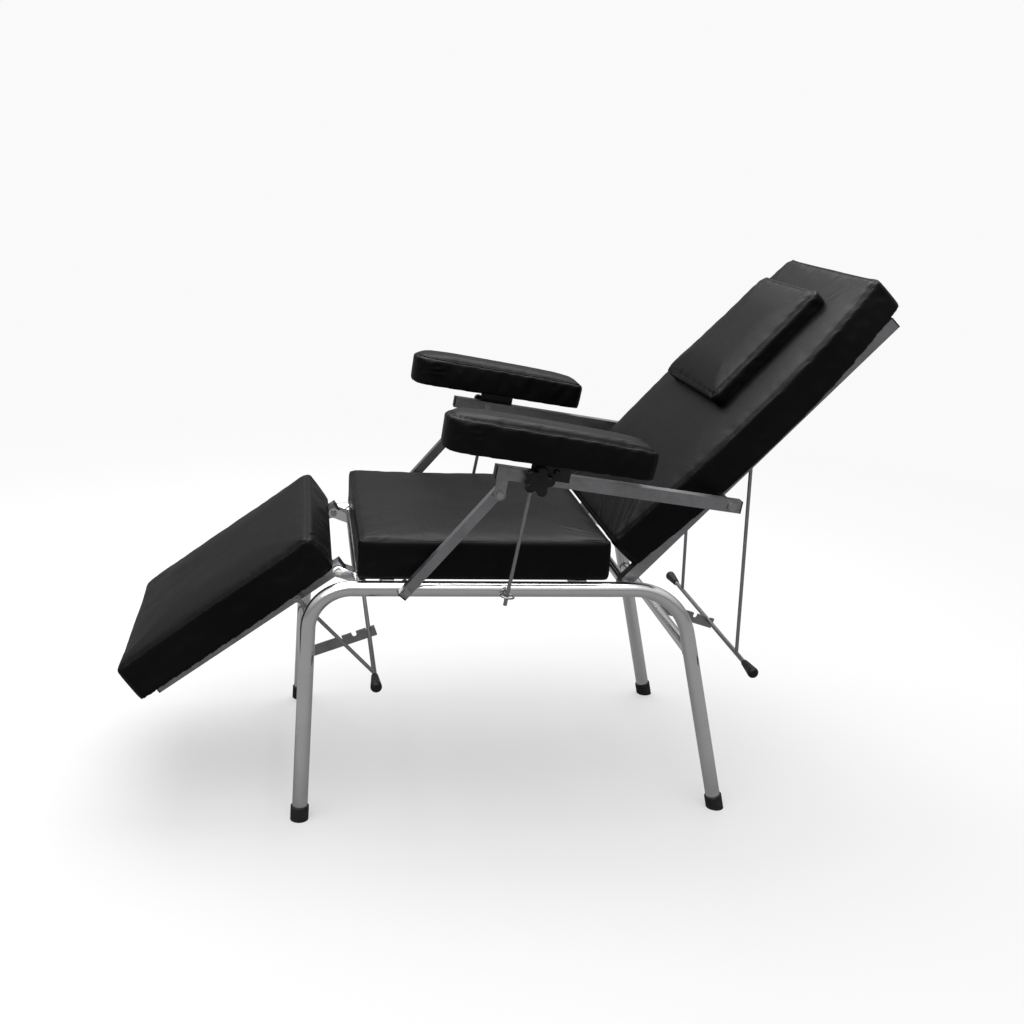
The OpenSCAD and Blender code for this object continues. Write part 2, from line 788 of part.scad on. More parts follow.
module arm_strut() {
    run = norm(arm_reach);
    grey_steel() at(strut_foot) pitched(strut_angle) difference() {
        union() {
            square_tube(-strut_end, run + strut_end, strut_y + strut_w / 2, strut_w, square_wall);
            along_y(pin_d + 2 * bush_wall, strut_y, strut_y + strut_w);
            translate([run, 0, 0]) along_y(pin_d + 2 * bush_wall, strut_y, strut_y + strut_w);
        }
        along_y(pin_d + 2 * fit, strut_y - over, strut_y + strut_w + over);
        translate([run, 0, 0]) along_y(pin_d + 2 * fit, strut_y - over, strut_y + strut_w + over);
    }
}

module strut_caps() {
    run = norm(arm_reach);
    black() at(strut_foot) pitched(strut_angle) translate([0, strut_y, -strut_w / 2]) {
        translate([-strut_end - cap_t, 0, 0]) cube([cap_t, strut_w, strut_w]);
        translate([run + strut_end, 0, 0]) cube([cap_t, strut_w, strut_w]);
    }
}

module arm_stay() {
    run = norm(clamp - guide);
    grey_steel() at(clamp) pitched(stay_angle) difference() {
        union() {
            translate([0, stay_y, 0]) along_x(stay_d, -run - stay_tail, -stay_eye_d / 2 + over);
            along_y(stay_eye_d, stay_y + stay_d / 2 - stay_eye_t, stay_y + stay_d / 2 - skin);
        }
        along_y(pin_d + 2 * fit, stay_y - stay_d, stay_y + stay_d);
    }
}

// Ring on a stud that turns in the rail and lets the stay slide through
module stay_eye() {
    ring_r = (stay_ring_in + stay_ring_wire) / 2;
    grey_steel() at(guide) {
        translate([0, stay_y, 0]) pitched(stay_angle) rotate([0, right_angle, 0])
            rotate_extrude() translate([ring_r, 0]) circle(d = stay_ring_wire);
        along_y(pin_d, rail_y + rail_r / 2, stay_y - ring_r);
        along_y(head_d, rail_out + slip, rail_out + slip + stay_ring_wire);
    }
}

module pad_bracket() {
    top = pad_under;
    black() bar_place() translate([clamp_x, 0, 0]) difference() {
        union() {
            translate([-bracket_front, bracket_y, 0])
                cube([bracket_front + bracket_back, bracket_t, top]);
            along_y(2 * bracket_front, bracket_y, bracket_y + bracket_t);
            translate([-bracket_front, bracket_y + bracket_t - bracket_flange, top - bracket_t])
                cube([bracket_front + bracket_back, bracket_flange, bracket_t]);
            translate([rivet_back, bracket_y + bracket_t, rivet_up]) rotate([-90, 0, 0]) dome_head();
        }
        along_y(pin_d + 2 * fit, bracket_y - over, bracket_y + bracket_t + over);
    }
}

module dome_head() {
    dome_r = (rivet_d * rivet_d / 4 + rivet_h * rivet_h) / (2 * rivet_h);
    intersection() {
        translate([0, 0, rivet_h - dome_r]) sphere(r = dome_r);
        translate([0, 0, -bracket_t / 2]) cylinder(d = rivet_d, h = rivet_h + bracket_t);
    }
}

module pad_board() {
    wood() bar_place() translate([clamp_x - pad_nose, pad_y, pad_under])
        cushion_board(pad_len, pad_w, pad_nose_r, pad_tail_r, pad_board_margin, pad_board_r, board_t);
}

module arm_pad() {
    vinyl() bar_place() translate([clamp_x - pad_nose, pad_y, pad_under])
        cushion(pad_len, pad_w, pad_t, pad_nose_r, pad_tail_r, pad_board_margin, pad_board_r, board_t,
            crown_h, pad_crown_w, 0, pad_droop_share);
}

module knob_bolt() {
    inner = stay_y + stay_d / 2 - stay_eye_t - slip;
    grey_steel() at(clamp) {
        along_y(pin_d, inner - head_t, knob_y + knob_collar_t + knob_t / 2);
        along_y(head_d, inner - head_t, inner);
    }
}

// Hand knob with round lobes and a collar, bored for the bolt
module arm_knob() {
    lobe_at = (knob_d - knob_lobe_d) / 2;
    face_y = knob_y + knob_collar_t;
    black() at(clamp) difference() {
        union() {
            along_y(knob_collar_d, knob_y, face_y + knob_round);
            along_y(knob_hub_d, face_y, face_y + knob_t);
            for (k = [0 : knob_lobes - 1])
                rotate([0, full_angle * k / knob_lobes, 0]) translate([lobe_at, face_y, 0])
                    rotate([-90, 0, 0]) rotate_extrude() lobe_section();
        }
        along_y(pin_d + 2 * skin, knob_y - over, knob_y + knob_collar_t + knob_t / 2 + skin);
    }
}

module lobe_section() {
    r = knob_lobe_d / 2;
    polygon(concat(
        [[0, 0], [r - knob_round / 2, 0], [r, knob_round / 2]],
        [
            for (k = [0 : round_steps])
                [
                    r - knob_round * (1 - cos(right_angle * k / round_steps)),
                    knob_t - knob_round + knob_round * sin(right_angle * k / round_steps)
                ]
        ],
        [[0, knob_t]]
    ));
}

centred() {
    left_side() chrome() side_frame();  // side_frame_left
    chrome() side_frame();  // side_frame_right
    seat_front_tube();
    leg_hinge_bolts();
    seat_bearer(-bearer_x);  // front_seat_bearer
    seat_bearer(bearer_x);  // rear_seat_bearer
    backrest_hinge_tube();
    front_cross_tube();
    rear_cross_tube();
    rack(front_cross, leg_rod);  // leg_rack
    rack(rear_cross, back_rod);  // back_rack
    left_side() black() foot(front_corner_x, front_rake);  // front_foot_left
    black() foot(front_corner_x, front_rake);  // front_foot_right
    left_side() black() foot(rear_corner_x, rear_rake);  // rear_foot_left
    black() foot(rear_corner_x, rear_rake);  // rear_foot_right
    seat_board();
    seat_cushion();
    strut_foot_bolts();
    leg_rest_frame();
    leg_frame_caps();
    leg_rest_board();
    leg_rest_cushion();
    prop_frame(leg_prop_top, leg_rod, leg_prop_y);  // leg_prop_frame
    prop_grips(leg_rod);  // leg_prop_grips
    back_frame();
    back_frame_caps();
    back_board();
    back_cushion();
    head_pillow();
    left_side() arm_pivot_pin();  // arm_pivot_pin_left
    arm_pivot_pin();  // arm_pivot_pin_right
    prop_frame(back_prop_top, back_rod, back_prop_y);  // back_prop_frame
    prop_grips(back_rod);  // back_prop_grips
    left_side() arm_bar();  // arm_bar_left
    arm_bar();  // arm_bar_right
    left_side() arm_bar_caps();  // arm_bar_caps_left
    arm_bar_caps();  // arm_bar_caps_right
    left_side() strut_top_bolt();  // strut_top_bolt_left
    strut_top_bolt();  // strut_top_bolt_right
    left_side() arm_strut();  // arm_strut_left
    arm_strut();  // arm_strut_right
    left_side() strut_caps();  // strut_caps_left
    strut_caps();  // strut_caps_right
    left_side() arm_stay();  // arm_stay_left
    arm_stay();  // arm_stay_right
    left_side() stay_eye();  // stay_eye_left
    stay_eye();  // stay_eye_right
    left_side() pad_bracket();  // pad_bracket_left
    pad_bracket();  // pad_bracket_right
    left_side() pad_board();  // pad_board_left
    pad_board();  // pad_board_right
    left_side() arm_pad();  // arm_pad_left
    arm_pad();  // arm_pad_right
    left_side() knob_bolt();  // knob_bolt_left
    knob_bolt();  // knob_bolt_right
    left_side() arm_knob();  // arm_knob_left
    arm_knob();  // arm_knob_right
}
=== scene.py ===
"""Looks of a reclining hospital chair: swollen vinyl cushions with sewn edges, plated tubes,
satin square bars, moulded plastic and a plain pale stage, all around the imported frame."""
import math

import bpy
import numpy as np
from mathutils import Matrix, Vector
from mathutils.bvhtree import BVHTree


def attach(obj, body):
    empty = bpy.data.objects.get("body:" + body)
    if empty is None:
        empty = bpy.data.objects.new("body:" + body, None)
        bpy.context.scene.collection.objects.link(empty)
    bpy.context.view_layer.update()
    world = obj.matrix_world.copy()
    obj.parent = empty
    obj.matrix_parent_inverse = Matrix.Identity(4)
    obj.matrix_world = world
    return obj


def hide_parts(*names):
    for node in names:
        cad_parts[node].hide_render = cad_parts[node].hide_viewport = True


bl_info = {
    "name": "Reclining hospital chair",
    "version": (1, 0, 0),
    "blender": (4, 5, 0),
    "location": "3D View > Sidebar > Chair",
    "description": "Cushions, finishes, weld beads and stage of a reclining hospital chair",
    "category": "Object",
}

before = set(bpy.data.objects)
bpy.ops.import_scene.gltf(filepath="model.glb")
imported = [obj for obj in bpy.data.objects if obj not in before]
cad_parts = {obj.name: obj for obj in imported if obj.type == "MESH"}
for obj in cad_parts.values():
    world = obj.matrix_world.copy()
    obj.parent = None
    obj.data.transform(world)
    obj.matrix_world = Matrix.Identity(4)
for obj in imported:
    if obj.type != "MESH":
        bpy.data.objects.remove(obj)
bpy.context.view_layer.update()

# Layout of the chair, in metres and degrees: [x, z] of the part's layout and the slope there
CENTRE_X = 0.0527658
SEAT_SPOT = (-0.265, 0.522, 0.0)
LEG_SPOT = (-0.298, 0.522, 36.0)
BACK_SPOT = (0.306, 0.502, 47.5)
ARM_SPOT = (0.47896, 0.709995, -7.2)

# Making of the cushions, in metres
BOARD_DEPTH = 0.012  # of the recess that the board lies in
SIDE_POINTS = 26  # along a long side of the outline
PROFILE_STEPS = 7
LIP_WIDTH = 0.014  # of the lip that hangs beside a frame tube
LIP_R = 0.010
LEAST_R = 0.004  # of an outline that is moved in
HELD_HEIGHT = 0.004  # below this the cloth is held
HELD_SPARE = 0.003  # above the board, and twice this round it
CLOTH_FRAMES = 20
BOX_SPARE = 0.002  # by which a cover may leave its cushion's outline
GROOVE_WIDTH = 0.0035  # beside the edge seam
GATHER_REACH = 0.014
BROAD_DEPTH = 0.0004
PUCKERS = 4  # at each upper corner
PUCKER_WIDTH = 0.004
SEAM_SPACING = 0.004
SEAM_LEAST_R = 0.006

# Weld beads, in metres and radians
RAIL_Y = 0.281
POST_R = 0.016
CROSS_R = 0.0125
HINGE_TUBE_R = 0.011
SPLAY = math.tan(math.radians(1.98))
FRONT_LEAN = math.radians(1.4)
REAR_LEAN = math.radians(14.1)
BEAD_R = 0.0021
BEAD_RIPPLE = 0.00035
BEAD_PROUD = 0.0006

# Stage
BACKDROP = (0.95, 0.95, 0.955, 1.0)
FLOOR_REACH = 60.0
EYE_PLACE = (-0.38114 - CENTRE_X, -2.60275, 1.35511)
EYE_RIGHT = (0.98483776, -0.16172908, 0.06275576)
EYE_UP = (-0.01427209, 0.28498874, 0.95842461)
EYE_BACK = (-0.17288982, -0.9447884, 0.27835946)


def spot(place, along=0.0, across=0.0, over=0.0):
    """Matrix of a piece laid out along X: turned up by the slope, moved to the place, then shifted by
    along, across and over in the turned directions."""
    x, z, degrees = place
    turn = Matrix.Rotation(-math.radians(degrees), 4, "Y")
    return Matrix.Translation((x - CENTRE_X, 0.0, z)) @ turn @ Matrix.Translation((along, across, over))


def cushion(node, body, place, length, width, thick, **changes):
    """Sizes of a cushion that lies along X, from its low end to its high end. low_r and high_r round the
    corners, margin and board_r lay out the board's recess, voxel is the even mesh's cell, crown the rise of
    the top, low_sag and high_sag thin the ends, limit ends the cloth's movement, draw_in and tuck shape the
    side, sides and belly are half widths and hangs along the length, lap is half the width between the
    hanging lips, and lengthened is how much longer the cover is than its solid at the low and high end.
    A fold is its two ends, its depth and its width."""
    shape = dict(
        low_r=0.014, high_r=0.014, margin=0.024, board_r=0.020, voxel=0.0065, crown=0.009, low_sag=0.0,
        high_sag=0.0, limit=0.007, draw_in=0.002, tuck=0.004, sides=(width / 2,), belly=(0.0,), lap=0.0,
        lengthened=(0.0, 0.0))
    shape.update(node=node, body=body, place=place, length=length, width=width, thick=thick, **changes)
    return shape


CUSHIONS = {
    "seat": cushion(
        "seat_cushion", "base", spot(SEAT_SPOT), 0.528, 0.560, 0.094, seed=3,
        folds=[
            ((0.010, -0.262, 0.091), (0.052, -0.232, 0.094), 0.0016, 0.0060),
            ((0.006, -0.250, 0.090), (0.040, -0.210, 0.094), 0.0012, 0.0050),
            ((0.030, -0.274, 0.088), (0.075, -0.250, 0.093), 0.0012, 0.0050),
            ((0.000, -0.255, 0.074), (0.000, -0.215, 0.040), 0.0014, 0.0060),
            ((0.500, -0.240, 0.091), (0.430, -0.200, 0.096), 0.0013, 0.0070),
            ((0.505, 0.235, 0.091), (0.440, 0.205, 0.096), 0.0013, 0.0070),
        ],
    ),
    "leg_rest": cushion(
        "leg_rest_cushion", "leg_rest", spot(LEG_SPOT, -0.4801, 0.0, 0.0192), 0.484, 0.524, 0.092, seed=5,
        low_r=0.022, low_sag=0.10, lengthened=(0.012, 0.009), belly=(0.011, 0.011, 0.011, 0.011, 0.0),
        lap=0.250,
        folds=[
            ((0.476, -0.250, 0.090), (0.436, -0.215, 0.095), 0.0016, 0.0060),
            ((0.482, -0.235, 0.086), (0.476, -0.190, 0.062), 0.0016, 0.0060),
            ((0.483, -0.255, 0.072), (0.483, -0.215, 0.028), 0.0014, 0.0055),
            ((0.469, -0.258, 0.082), (0.426, -0.261, 0.040), 0.0012, 0.0055),
            ((0.020, -0.240, 0.082), (0.070, -0.200, 0.090), 0.0012, 0.0070),
            ((0.020, 0.240, 0.082), (0.065, 0.205, 0.090), 0.0012, 0.0070),
        ],
    ),
    "backrest": cushion(
        "back_cushion", "back_rest", spot(BACK_SPOT, 0.040, 0.0, 0.0203), 0.773, 0.504, 0.090, seed=8,
        crown=0.012, sides=(0.262, 0.290, 0.310, 0.300, 0.240), lap=0.2525,
        belly=(0.0, 0.007, 0.011, 0.007, 0.0),
        folds=[
            ((0.020, -0.235, 0.078), (0.120, -0.120, 0.086), 0.0026, 0.0100),
            ((0.006, -0.200, 0.076), (0.085, -0.085, 0.086), 0.0020, 0.0080),
            ((0.050, -0.245, 0.077), (0.160, -0.165, 0.085), 0.0020, 0.0080),
            ((0.012, -0.120, 0.079), (0.060, -0.030, 0.085), 0.0016, 0.0080),
            ((0.020, 0.230, 0.078), (0.110, 0.130, 0.086), 0.0022, 0.0090),
            ((0.675, -0.165, 0.084), (0.735, -0.200, 0.081), 0.0016, 0.0060),
            ((0.680, -0.140, 0.084), (0.745, -0.165, 0.081), 0.0012, 0.0050),
            ((0.675, 0.160, 0.084), (0.735, 0.200, 0.081), 0.0016, 0.0060),
            ((0.000, -0.200, 0.060), (0.002, -0.140, 0.030), 0.0016, 0.0070),
        ],
    ),
    "pillow": cushion(
        "head_pillow", "back_rest", spot(BACK_SPOT, 0.402, 0.0, 0.1040), 0.320, 0.320, 0.050, seed=13,
        low_r=0.020, high_r=0.020, margin=0.0, voxel=0.005, crown=0.012, limit=0.006, sides=(0.178, 0.160),
        folds=[
            ((0.306, -0.140, 0.046), (0.270, -0.105, 0.050), 0.0014, 0.0050),
            ((0.306, 0.140, 0.046), (0.275, 0.110, 0.050), 0.0014, 0.0050),
            ((0.012, -0.145, 0.047), (0.045, -0.115, 0.052), 0.0012, 0.0050),
        ],
    ),
    "arm_pad": cushion(
        "arm_pad", "pad", spot(ARM_SPOT, -0.6042, -0.345, 0.036), 0.421, 0.114, 0.074, seed=21,
        low_r=0.050, high_r=0.022, margin=0.014, board_r=0.012, voxel=0.005, high_sag=0.13, draw_in=0.001,
        tuck=0.003, lengthened=(0.008, 0.0),
        folds=[
            ((0.004, -0.020, 0.060), (0.050, -0.046, 0.064), 0.0020, 0.0060),
            ((0.012, -0.035, 0.050), (0.060, -0.056, 0.050), 0.0022, 0.0060),
            ((0.020, -0.045, 0.034), (0.072, -0.057, 0.040), 0.0018, 0.0055),
            ((0.002, 0.005, 0.058), (0.036, 0.022, 0.072), 0.0016, 0.0055),
            ((0.028, 0.046, 0.060), (0.080, 0.054, 0.050), 0.0018, 0.0060),
            ((0.404, -0.030, 0.055), (0.360, -0.050, 0.060), 0.0014, 0.0060),
        ],
    ),
}

PLATED = [
    "side_frame_left", "side_frame_right", "seat_front_tube", "backrest_hinge_tube", "front_cross_tube",
    "rear_cross_tube",
]
SQUARE_BARS = [
    "front_seat_bearer", "rear_seat_bearer", "leg_rack", "back_rack", "leg_rest_frame", "back_frame",
    "arm_bar_left", "arm_bar_right", "arm_strut_left", "arm_strut_right",
]
RODS = [
    "leg_prop_frame", "back_prop_frame", "arm_stay_left", "arm_stay_right", "stay_eye_left",
    "stay_eye_right",
]
BOLTS = [
    "leg_hinge_bolts", "strut_foot_bolts", "strut_top_bolt_left", "strut_top_bolt_right",
    "arm_pivot_pin_left", "arm_pivot_pin_right", "knob_bolt_left", "knob_bolt_right",
]
MOULDED = [
    "leg_frame_caps", "back_frame_caps", "arm_bar_caps_left", "arm_bar_caps_right", "strut_caps_left",
    "strut_caps_right", "leg_prop_grips", "back_prop_grips", "arm_knob_left", "arm_knob_right",
]
FEET = ["front_foot_left", "front_foot_right", "rear_foot_left", "rear_foot_right"]
BRACKETS = ["pad_bracket_left", "pad_bracket_right"]
BOARDS = {
    "seat_board": SEAT_SPOT, "leg_rest_board": LEG_SPOT, "back_board": BACK_SPOT,
    "pad_board_left": ARM_SPOT, "pad_board_right": ARM_SPOT,
}


# Shapes

def rounded_loop(low, high, half_width, low_r, high_r, steps=10):
    """Points of a rectangle with round corners, counter-clockwise from above. Corner point k is the corner's
    centre plus its radius times the cosine and sine of a quarter turn times k over steps. The two long sides
    have even points too."""
    angle = np.linspace(0.0, math.pi / 2, steps + 1)
    corners = [(high, half_width, high_r, 0), (low, half_width, low_r, 1), (low, -half_width, low_r, 2),
               (high, -half_width, high_r, 3)]
    parts = []
    for x, y, r, quarter in corners:
        centre = (x - math.copysign(r, x - low - 1e-9), y - math.copysign(r, y))
        turned = angle + quarter * math.pi / 2
        parts.append(np.stack([centre[0] + r * np.cos(turned), centre[1] + r * np.sin(turned)], 1))
    along = np.linspace(0.0, 1.0, SIDE_POINTS)[1:-1, None]
    runs = [parts[i][-1] + along * (parts[i + 1][0] - parts[i][-1]) for i in (0, 2)]
    return np.concatenate([parts[0], runs[0], parts[1], parts[2], runs[1], parts[3]])


def blend_of(values, share):
    """Smooth blend of the values along a share from 0 to 1. Each weighs as its Bernstein polynomial."""
    n = len(values) - 1
    return sum(v * math.comb(n, i) * share ** i * (1 - share) ** (n - i) for i, v in enumerate(values))


def half_width(shape, share):
    """Half of the cushion's width at a share of its length."""
    return blend_of(shape["sides"], share)


def plan_loop(shape, inset, low_r, high_r, steps=10):
    """The cushion's outline seen from above and moved in by the inset: a rectangle with round corners whose
    sides are then spread to the half width that belongs to each place along it."""
    straight = shape["width"] / 2 - inset
    loop = rounded_loop(inset, shape["length"] - inset, straight, low_r, high_r, steps)
    loop[:, 1] *= (half_width(shape, loop[:, 0] / shape["length"]) - inset) / straight
    return loop


def cushion_profile(thick, edge, crown, crown_width, draw_in, tuck):
    """Inset and height of a box cushion's rings from the underside up: a quarter round tuck, a side whose
    inset falls with a quarter sine, a quarter round edge and a crown that rises with a quarter sine."""
    k = np.linspace(0.0, math.pi / 2, PROFILE_STEPS)
    side = k[1:]
    top = thick - crown - edge
    rings = [
        np.stack([draw_in + tuck * (1 - np.sin(k)), tuck * (1 - np.cos(k))], 1),
        np.stack([draw_in * (1 - np.sin(side)), tuck + (top - tuck) * side / side[-1]], 1),
        np.stack([edge * (1 - np.cos(side)), top + edge * np.sin(side)], 1),
        np.stack([edge + (crown_width - edge) * side / side[-1], thick - crown + crown * np.sin(side)], 1),
    ]
    return np.concatenate(rings)


def ring_quads(rings, count):
    """Quads between rings of count points each, wound to face outwards where the rings climb a wall."""
    row = np.arange(rings - 1)[:, None] * count
    column = np.arange(count)[None, :]
    a = row + column
    b = row + (column + 1) % count
    return np.stack([a, b, b + count, a + count], -1).reshape(-1, 4)


def cushion_shell(shape, look, inset):
    """A box cushion as rings of its outline, each moved in by the profile, with a recess below for the
    board. Heights shrink by the sag shares towards either end. With a lap the underside hangs down by the
    belly in a lip all round. The whole is inset all round."""
    profile = cushion_profile(
        shape["thick"] - inset, look.edge_radius, shape["crown"], shape["width"] * 0.3, shape["draw_in"],
        shape["tuck"])
    profile[:, 0] += inset
    least = look.edge_radius / 2
    rings = [(move, height, max(shape["low_r"] - move, least), max(shape["high_r"] - move, least), True)
             for move, height in profile]
    if shape["margin"]:
        m = shape["margin"]
        low_r = max(shape["low_r"] - m, shape["board_r"])
        high_r = max(shape["high_r"] - m, shape["board_r"])
        rings = [(m, BOARD_DEPTH, low_r, high_r, False), (m, 0.0, low_r, high_r, False)] + rings
    points = []
    for move, height, low_r, high_r, outer in rings:
        if outer:
            loop = plan_loop(shape, move, low_r, high_r)
        else:
            before, after = shape["lengthened"]
            loop = rounded_loop(
                move + before, shape["length"] - move - after, shape["width"] / 2 - move, low_r, high_r)
        share = loop[:, 0] / shape["length"]
        level = height / shape["thick"] if outer else 0.0
        sag = 1 - level * (shape["low_sag"] * (1 - share) ** 4 + shape["high_sag"] * share ** 3)
        hang = blend_of(shape["belly"], share) * (1 - level) if outer else 0.0
        points.append(np.column_stack([loop, height * sag - hang]))
    if shape["lap"]:
        loop = plan_loop(shape, LIP_WIDTH, LIP_R, LIP_R)
        loop[:, 1] = np.clip(loop[:, 1], -shape["lap"], shape["lap"])
        points.insert(2, np.column_stack([loop, np.zeros(len(loop))]))
    count = len(points[0])
    quads = ring_quads(len(points), count).tolist()
    last = (len(points) - 1) * count
    quads.append(list(range(count - 1, -1, -1)))
    quads.append(list(range(last, last + count)))
    return np.concatenate(points), quads


def swept_tube(path, normals, radius, sides=8, closed=True):
    """A round tube along a path: each ring is the path point plus radius times the cosine along the normal
    and the sine along the cross direction. Returns points, quads and the length along the path."""
    step = np.roll(path, -1, 0) - path if closed else np.gradient(path, axis=0)
    tangent = (step + np.roll(step, 1, 0)) / 2 if closed else step
    tangent /= np.linalg.norm(tangent, axis=1, keepdims=True)
    normals = normals - tangent * (normals * tangent).sum(1, keepdims=True)
    normals /= np.linalg.norm(normals, axis=1, keepdims=True)
    cross = np.cross(tangent, normals)
    angle = np.linspace(0, 2 * math.pi, sides, endpoint=False)
    ring = (np.cos(angle)[None, :, None] * normals[:, None] + np.sin(angle)[None, :, None] * cross[:, None])
    points = path[:, None] + radius * ring
    rows = len(path)
    i = np.arange(rows if closed else rows - 1)[:, None]
    j = np.arange(sides)[None, :]
    a = i * sides + j
    b = i * sides + (j + 1) % sides
    c = ((i + 1) % rows) * sides + (j + 1) % sides
    d = ((i + 1) % rows) * sides + j
    quads = np.stack([a, b, c, d], -1).reshape(-1, 4).tolist()
    if not closed:
        quads.append(list(range(sides - 1, -1, -1)))
        quads.append([(rows - 1) * sides + k for k in range(sides)])
    return points.reshape(-1, 3), quads


def new_piece(name, points, faces, material):
    """A smooth-shaded mesh object at the origin, with its place in its points."""
    mesh = bpy.data.meshes.new(name)
    mesh.from_pydata(np.asarray(points).tolist(), [], faces)
    mesh.validate()
    mesh.shade_smooth()
    mesh.materials.append(material)
    piece = bpy.data.objects.new(name, mesh)
    bpy.context.scene.collection.objects.link(piece)
    return piece


def moved(points, matrix):
    """Points taken through a 4 by 4 matrix."""
    m = np.array(matrix)
    return points @ m[:3, :3].T + m[:3, 3]


def points_of(mesh):
    """The mesh's points as rows."""
    flat = np.empty(len(mesh.vertices) * 3, np.float64)
    mesh.vertices.foreach_get("co", flat)
    return flat.reshape(-1, 3)


def normals_of(mesh):
    """The mesh's vertex normals as rows."""
    flat = np.empty(len(mesh.vertices) * 3, np.float64)
    mesh.vertex_normals.foreach_get("vector", flat)
    return flat.reshape(-1, 3)


def set_points(mesh, points):
    """Moves the mesh's points to the given rows."""
    mesh.vertices.foreach_set("co", np.ascontiguousarray(points, np.float32).ravel())
    mesh.update()


def bake_modifiers(piece):
    """Replaces the piece's mesh by what its modifiers make of it."""
    graph = bpy.context.evaluated_depsgraph_get()
    mesh = bpy.data.meshes.new_from_object(piece.evaluated_get(graph))
    piece.modifiers.clear()
    old = piece.data
    piece.data = mesh
    bpy.data.meshes.remove(old)


def press_out(piece, place, shape, look):
    """Swells the cushion with cloth that is held along its underside and pressed from inside, then limits
    how far each point has moved."""
    start = points_of(piece.data)
    local = moved(start, place.inverted())
    held = piece.vertex_groups.new(name="held")
    low = local[:, 2] < HELD_HEIGHT
    if shape["margin"]:
        edge = shape["margin"] - 2 * HELD_SPARE
        low |= ((local[:, 2] < BOARD_DEPTH + HELD_SPARE) & (local[:, 0] > edge)
                & (local[:, 0] < shape["length"] - edge) & (np.abs(local[:, 1]) < shape["width"] / 2 - edge))
    held.add(np.flatnonzero(low).tolist(), 1.0, "REPLACE")
    cloth = piece.modifiers.new("swelling", "CLOTH")
    sheet = cloth.settings
    sheet.quality = 5
    sheet.mass = 0.3
    sheet.tension_stiffness = 15
    sheet.compression_stiffness = 15
    sheet.shear_stiffness = 5
    sheet.bending_stiffness = 10.0
    sheet.vertex_group_mass = "held"
    sheet.use_pressure = True
    sheet.uniform_pressure_force = look.pressure
    sheet.shrink_min = -look.slack
    sheet.effector_weights.gravity = 0.0
    cloth.collision_settings.use_collision = False
    cloth.collision_settings.use_self_collision = False
    cloth.point_cache.frame_start = 1
    cloth.point_cache.frame_end = CLOTH_FRAMES
    scene = bpy.context.scene
    for step in range(1, CLOTH_FRAMES + 1):
        scene.frame_set(step)
    graph = bpy.context.evaluated_depsgraph_get()
    swollen = points_of(piece.evaluated_get(graph).to_mesh())
    piece.modifiers.remove(cloth)
    piece.vertex_groups.remove(held)
    scene.frame_set(1)
    if len(swollen) != len(start) or not np.isfinite(swollen).all():
        raise RuntimeError(piece.name + ": the cloth did not settle")
    shift = swollen - start
    size = np.linalg.norm(shift, axis=1, keepdims=True)
    shift *= look.looseness * np.minimum(1.0, shape["limit"] / np.maximum(size, 1e-9))
    set_points(piece.data, start + shift)


def kept_inside(local, shape):
    """Local points pressed back to the cushion's own outline plus a spare, so neighbours stay clear."""
    half = half_width(shape, np.clip(local[:, 0] / shape["length"], 0, 1)) + BOX_SPARE
    local[:, 0] = np.clip(local[:, 0], -BOX_SPARE, shape["length"] + BOX_SPARE)
    local[:, 1] = np.clip(local[:, 1], -half, half)
    return local


def edge_distance(local, shape, inset):
    """Signed distance in plan to the rounded rectangle that lies inset from the cushion's outline."""
    half_length = shape["length"] / 2 - inset
    spread = half_width(shape, np.clip(local[:, 0] / shape["length"], 0, 1))
    radius = np.where(local[:, 0] < shape["length"] / 2, shape["low_r"], shape["high_r"]) - inset
    radius = np.maximum(radius, LEAST_R)
    qx = np.abs(local[:, 0] - shape["length"] / 2) - half_length + radius
    qy = np.abs(local[:, 1]) - spread + inset + radius
    outside = np.hypot(np.maximum(qx, 0), np.maximum(qy, 0))
    return outside + np.minimum(np.maximum(qx, qy), 0) - radius


def segment_distance(points, start, end):
    """Distance of each point from a segment, and how far along the segment it lies from 0 to 1."""
    start, end = np.array(start), np.array(end)
    line = end - start
    t = np.clip((points - start) @ line / (line @ line), 0, 1)
    return np.linalg.norm(points - start - t[:, None] * line, axis=1), t


